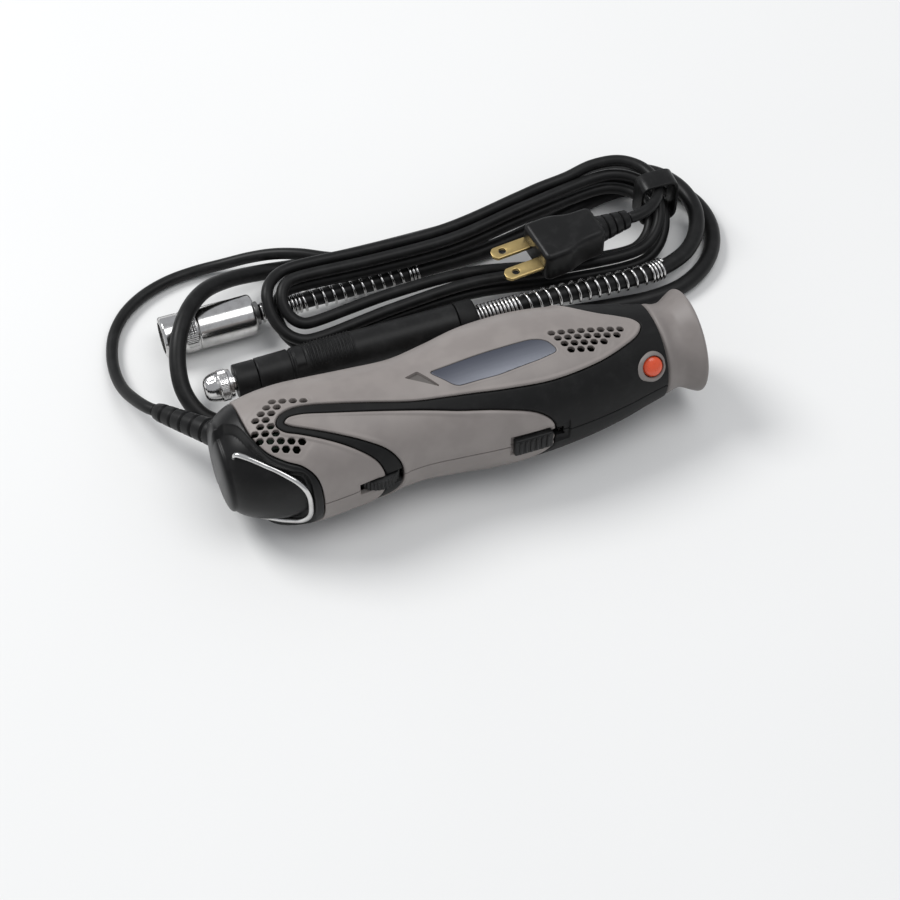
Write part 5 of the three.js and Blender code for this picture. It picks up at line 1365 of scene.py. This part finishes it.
def mirrored(half_outline):
    """An outline from the half of it that lies below Y = 0."""
    return half_outline + [(x, -y) for x, y in reversed(half_outline)]


def add_plug():
    front, back = PLUG_FRONT / 2, PLUG_BACK / 2
    outline = rounded(mirrored([(PLUG_RELIEF, -back), (PLUG_RELIEF + 11, -back * 1.04),
                                (PLUG_RELIEF + 18, -front), (PLUG_END, -front)]), 3.2, 7)
    body = softened(prism("plug_shell", outline, -PLUG_THICK / 2, PLUG_THICK / 2), 2.4, 5, 50)
    moved(body, PLUG_TURN, PLUG_TAIL)
    hold(body, STRAP_PLASTIC, "cord_jacket", "plug_body")
    root = PLUG_TAIL + PLUG_AIM * (PLUG_RELIEF + 0.6)
    relief = ribbed("plug_relief", straight(PLUG_TAIL, root, 0.25), base=3.9, end=6.0, ribs=4, groove=0.9)
    return [body, hold(relief, STRAP_PLASTIC, "cord_jacket")]


def add_blade(name, node, side):
    start, half = PLUG_END - 0.2, BLADE_WIDTH / 2
    end, (long, wide) = start + BLADE_LENGTH, BLADE_TAPER
    outline = rounded(mirrored([(start, -half), (end - long, -half), (end, wide - half)]), 0.8)
    blade = prism(name, outline, -BLADE_THICK / 2, BLADE_THICK / 2)
    bpy.ops.mesh.primitive_cylinder_add(vertices=40, radius=BLADE_HOLE * MM, depth=6 * MM,
                                        location=placed((start + BLADE_HOLE_AT, 0, 0)))
    cut_by(blade, bpy.context.object)
    softened(blade, 0.22, 2, 40)
    blade.data.transform(Matrix.Translation(Vector((0, side * BLADE_APART / 2 * MM, 0))))
    moved(blade, PLUG_TURN, PLUG_TAIL)
    return hold(blade, BRASS, "brass", node)


PLUG = add_plug()
BLADES = [add_blade("blade_near", "plug_blade_near", 1), add_blade("blade_far", "plug_blade_far", -1)]


# The tie strap round the hank's right end.
STRAP_X, STRAP_Y, STRAP_Z = (91.5, 106.4), (80.5, 89.5), (8.5, 29.4)
STRAP_THICK, STRAP_CORNER = 1.2, 4.0


def add_strap():
    def loop(out, y):
        (left, right), (low, high) = STRAP_X, STRAP_Z
        corners = [(left - out, low - out), (right + out, low - out), (right + out, high + out),
                   (left - out, high + out)]
        return [(x, y, z) for x, z in rounded(corners, STRAP_CORNER + out, 8)]
    near, far = STRAP_Y
    rings = [loop(0, near), loop(STRAP_THICK, near), loop(STRAP_THICK, far), loop(0, far)]
    strap = softened(merged(skinned("tie_strap", rings, closed=True)), 0.3, 3, 50)
    return hold(strap, STRAP_PLASTIC, "black_plastic", "cord_strap")


STRAP = add_strap()


# A darker plate in the three-sided recess beside the label: painted shade, a darker copy of the shell's
# grey for the shade that falls in the recess.
FLOOR_INSET, FLOOR_RISE, FLOOR_SUNK = 0.3, 0.25, 0.3


def add_painted_recess_shade():
    sheet = Sheet(np.linspace(-48, -28, 60), np.linspace(1.2, 2.2, 60))
    sheet.cut(to_notch, FLOOR_INSET)
    sheet.keep((to_notch, FLOOR_INSET))
    piece = sheet.wrap("painted_recess_shade", flat_at(NOTCH_DEPTH - FLOOR_RISE), NOTCH_DEPTH + FLOOR_SUNK)
    shade_by_angle(piece)
    hold(piece, PAINTED_SHADE_GREY, "grey_shell")


add_painted_recess_shade()

# Inner pieces keep their solids and get their finishes.
for nodes, material in (
        ("spindle collet hand_spindle", SPRING_STEEL),
        ("collet_nut front_bearing rear_bearing hand_front_bearing hand_rear_bearing drive_core",
         DARK_STEEL),
        ("stator armature_core", STACK),
        ("left_field_coil right_field_coil rear_winding front_winding commutator", COPPER),
        ("left_brush right_brush", CARBON),
        ("left_brush_holder right_brush_holder", BRASS),
        ("speed_board", BOARD),
        ("fan speed_pot switch_body", STRAP_PLASTIC)):
    for node in nodes.split():
        dress(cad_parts[node].data, material)


# Floor and light.
def add_floor():
    mesh = bpy.data.meshes.new("floor")
    half = 3.0
    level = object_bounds()[0][2]
    corners = [(x * half, y * half, level) for x, y in ((-1, -1), (1, -1), (1, 1), (-1, 1))]
    mesh.from_pydata(corners, [], [(0, 1, 2, 3)])
    floor = linked("floor", mesh)
    finish = Finish("pale_floor", specular=0.2)
    cloud = finish.noise(4, 2)
    finish.feed(Base_Color=finish.mix(cloud, (0.80, 0.80, 0.79, 1), (0.84, 0.84, 0.83, 1)),
                Roughness=0.75 + 0.1 * cloud)
    dress(floor.data, finish.material)


def add_lamp(name, place, size, power):
    """A round soft lamp that looks at the frame's origin."""
    data = bpy.data.lights.new(name, "AREA")
    data.shape = "DISK"
    data.size = size
    data.energy = power
    lamp = linked(name, data)
    lamp.location = place
    lamp.rotation_euler = (-Vector(place)).to_track_quat("-Z", "Y").to_euler()


def add_light():
    world = bpy.data.worlds.new("room")
    bpy.context.scene.world = world
    world.use_nodes = True
    sky = world.node_tree.nodes["Background"].inputs
    sky["Color"].default_value = (0.86, 0.88, 0.92, 1)
    sky["Strength"].default_value = 0.55
    add_lamp("window", (-0.9, 0.9, 1.5), 0.9, 22)
    add_lamp("ceiling", (0.4, -0.3, 1.7), 1.2, 9)


bpy.context.scene.view_settings.view_transform = "Standard"
add_floor()
add_light()
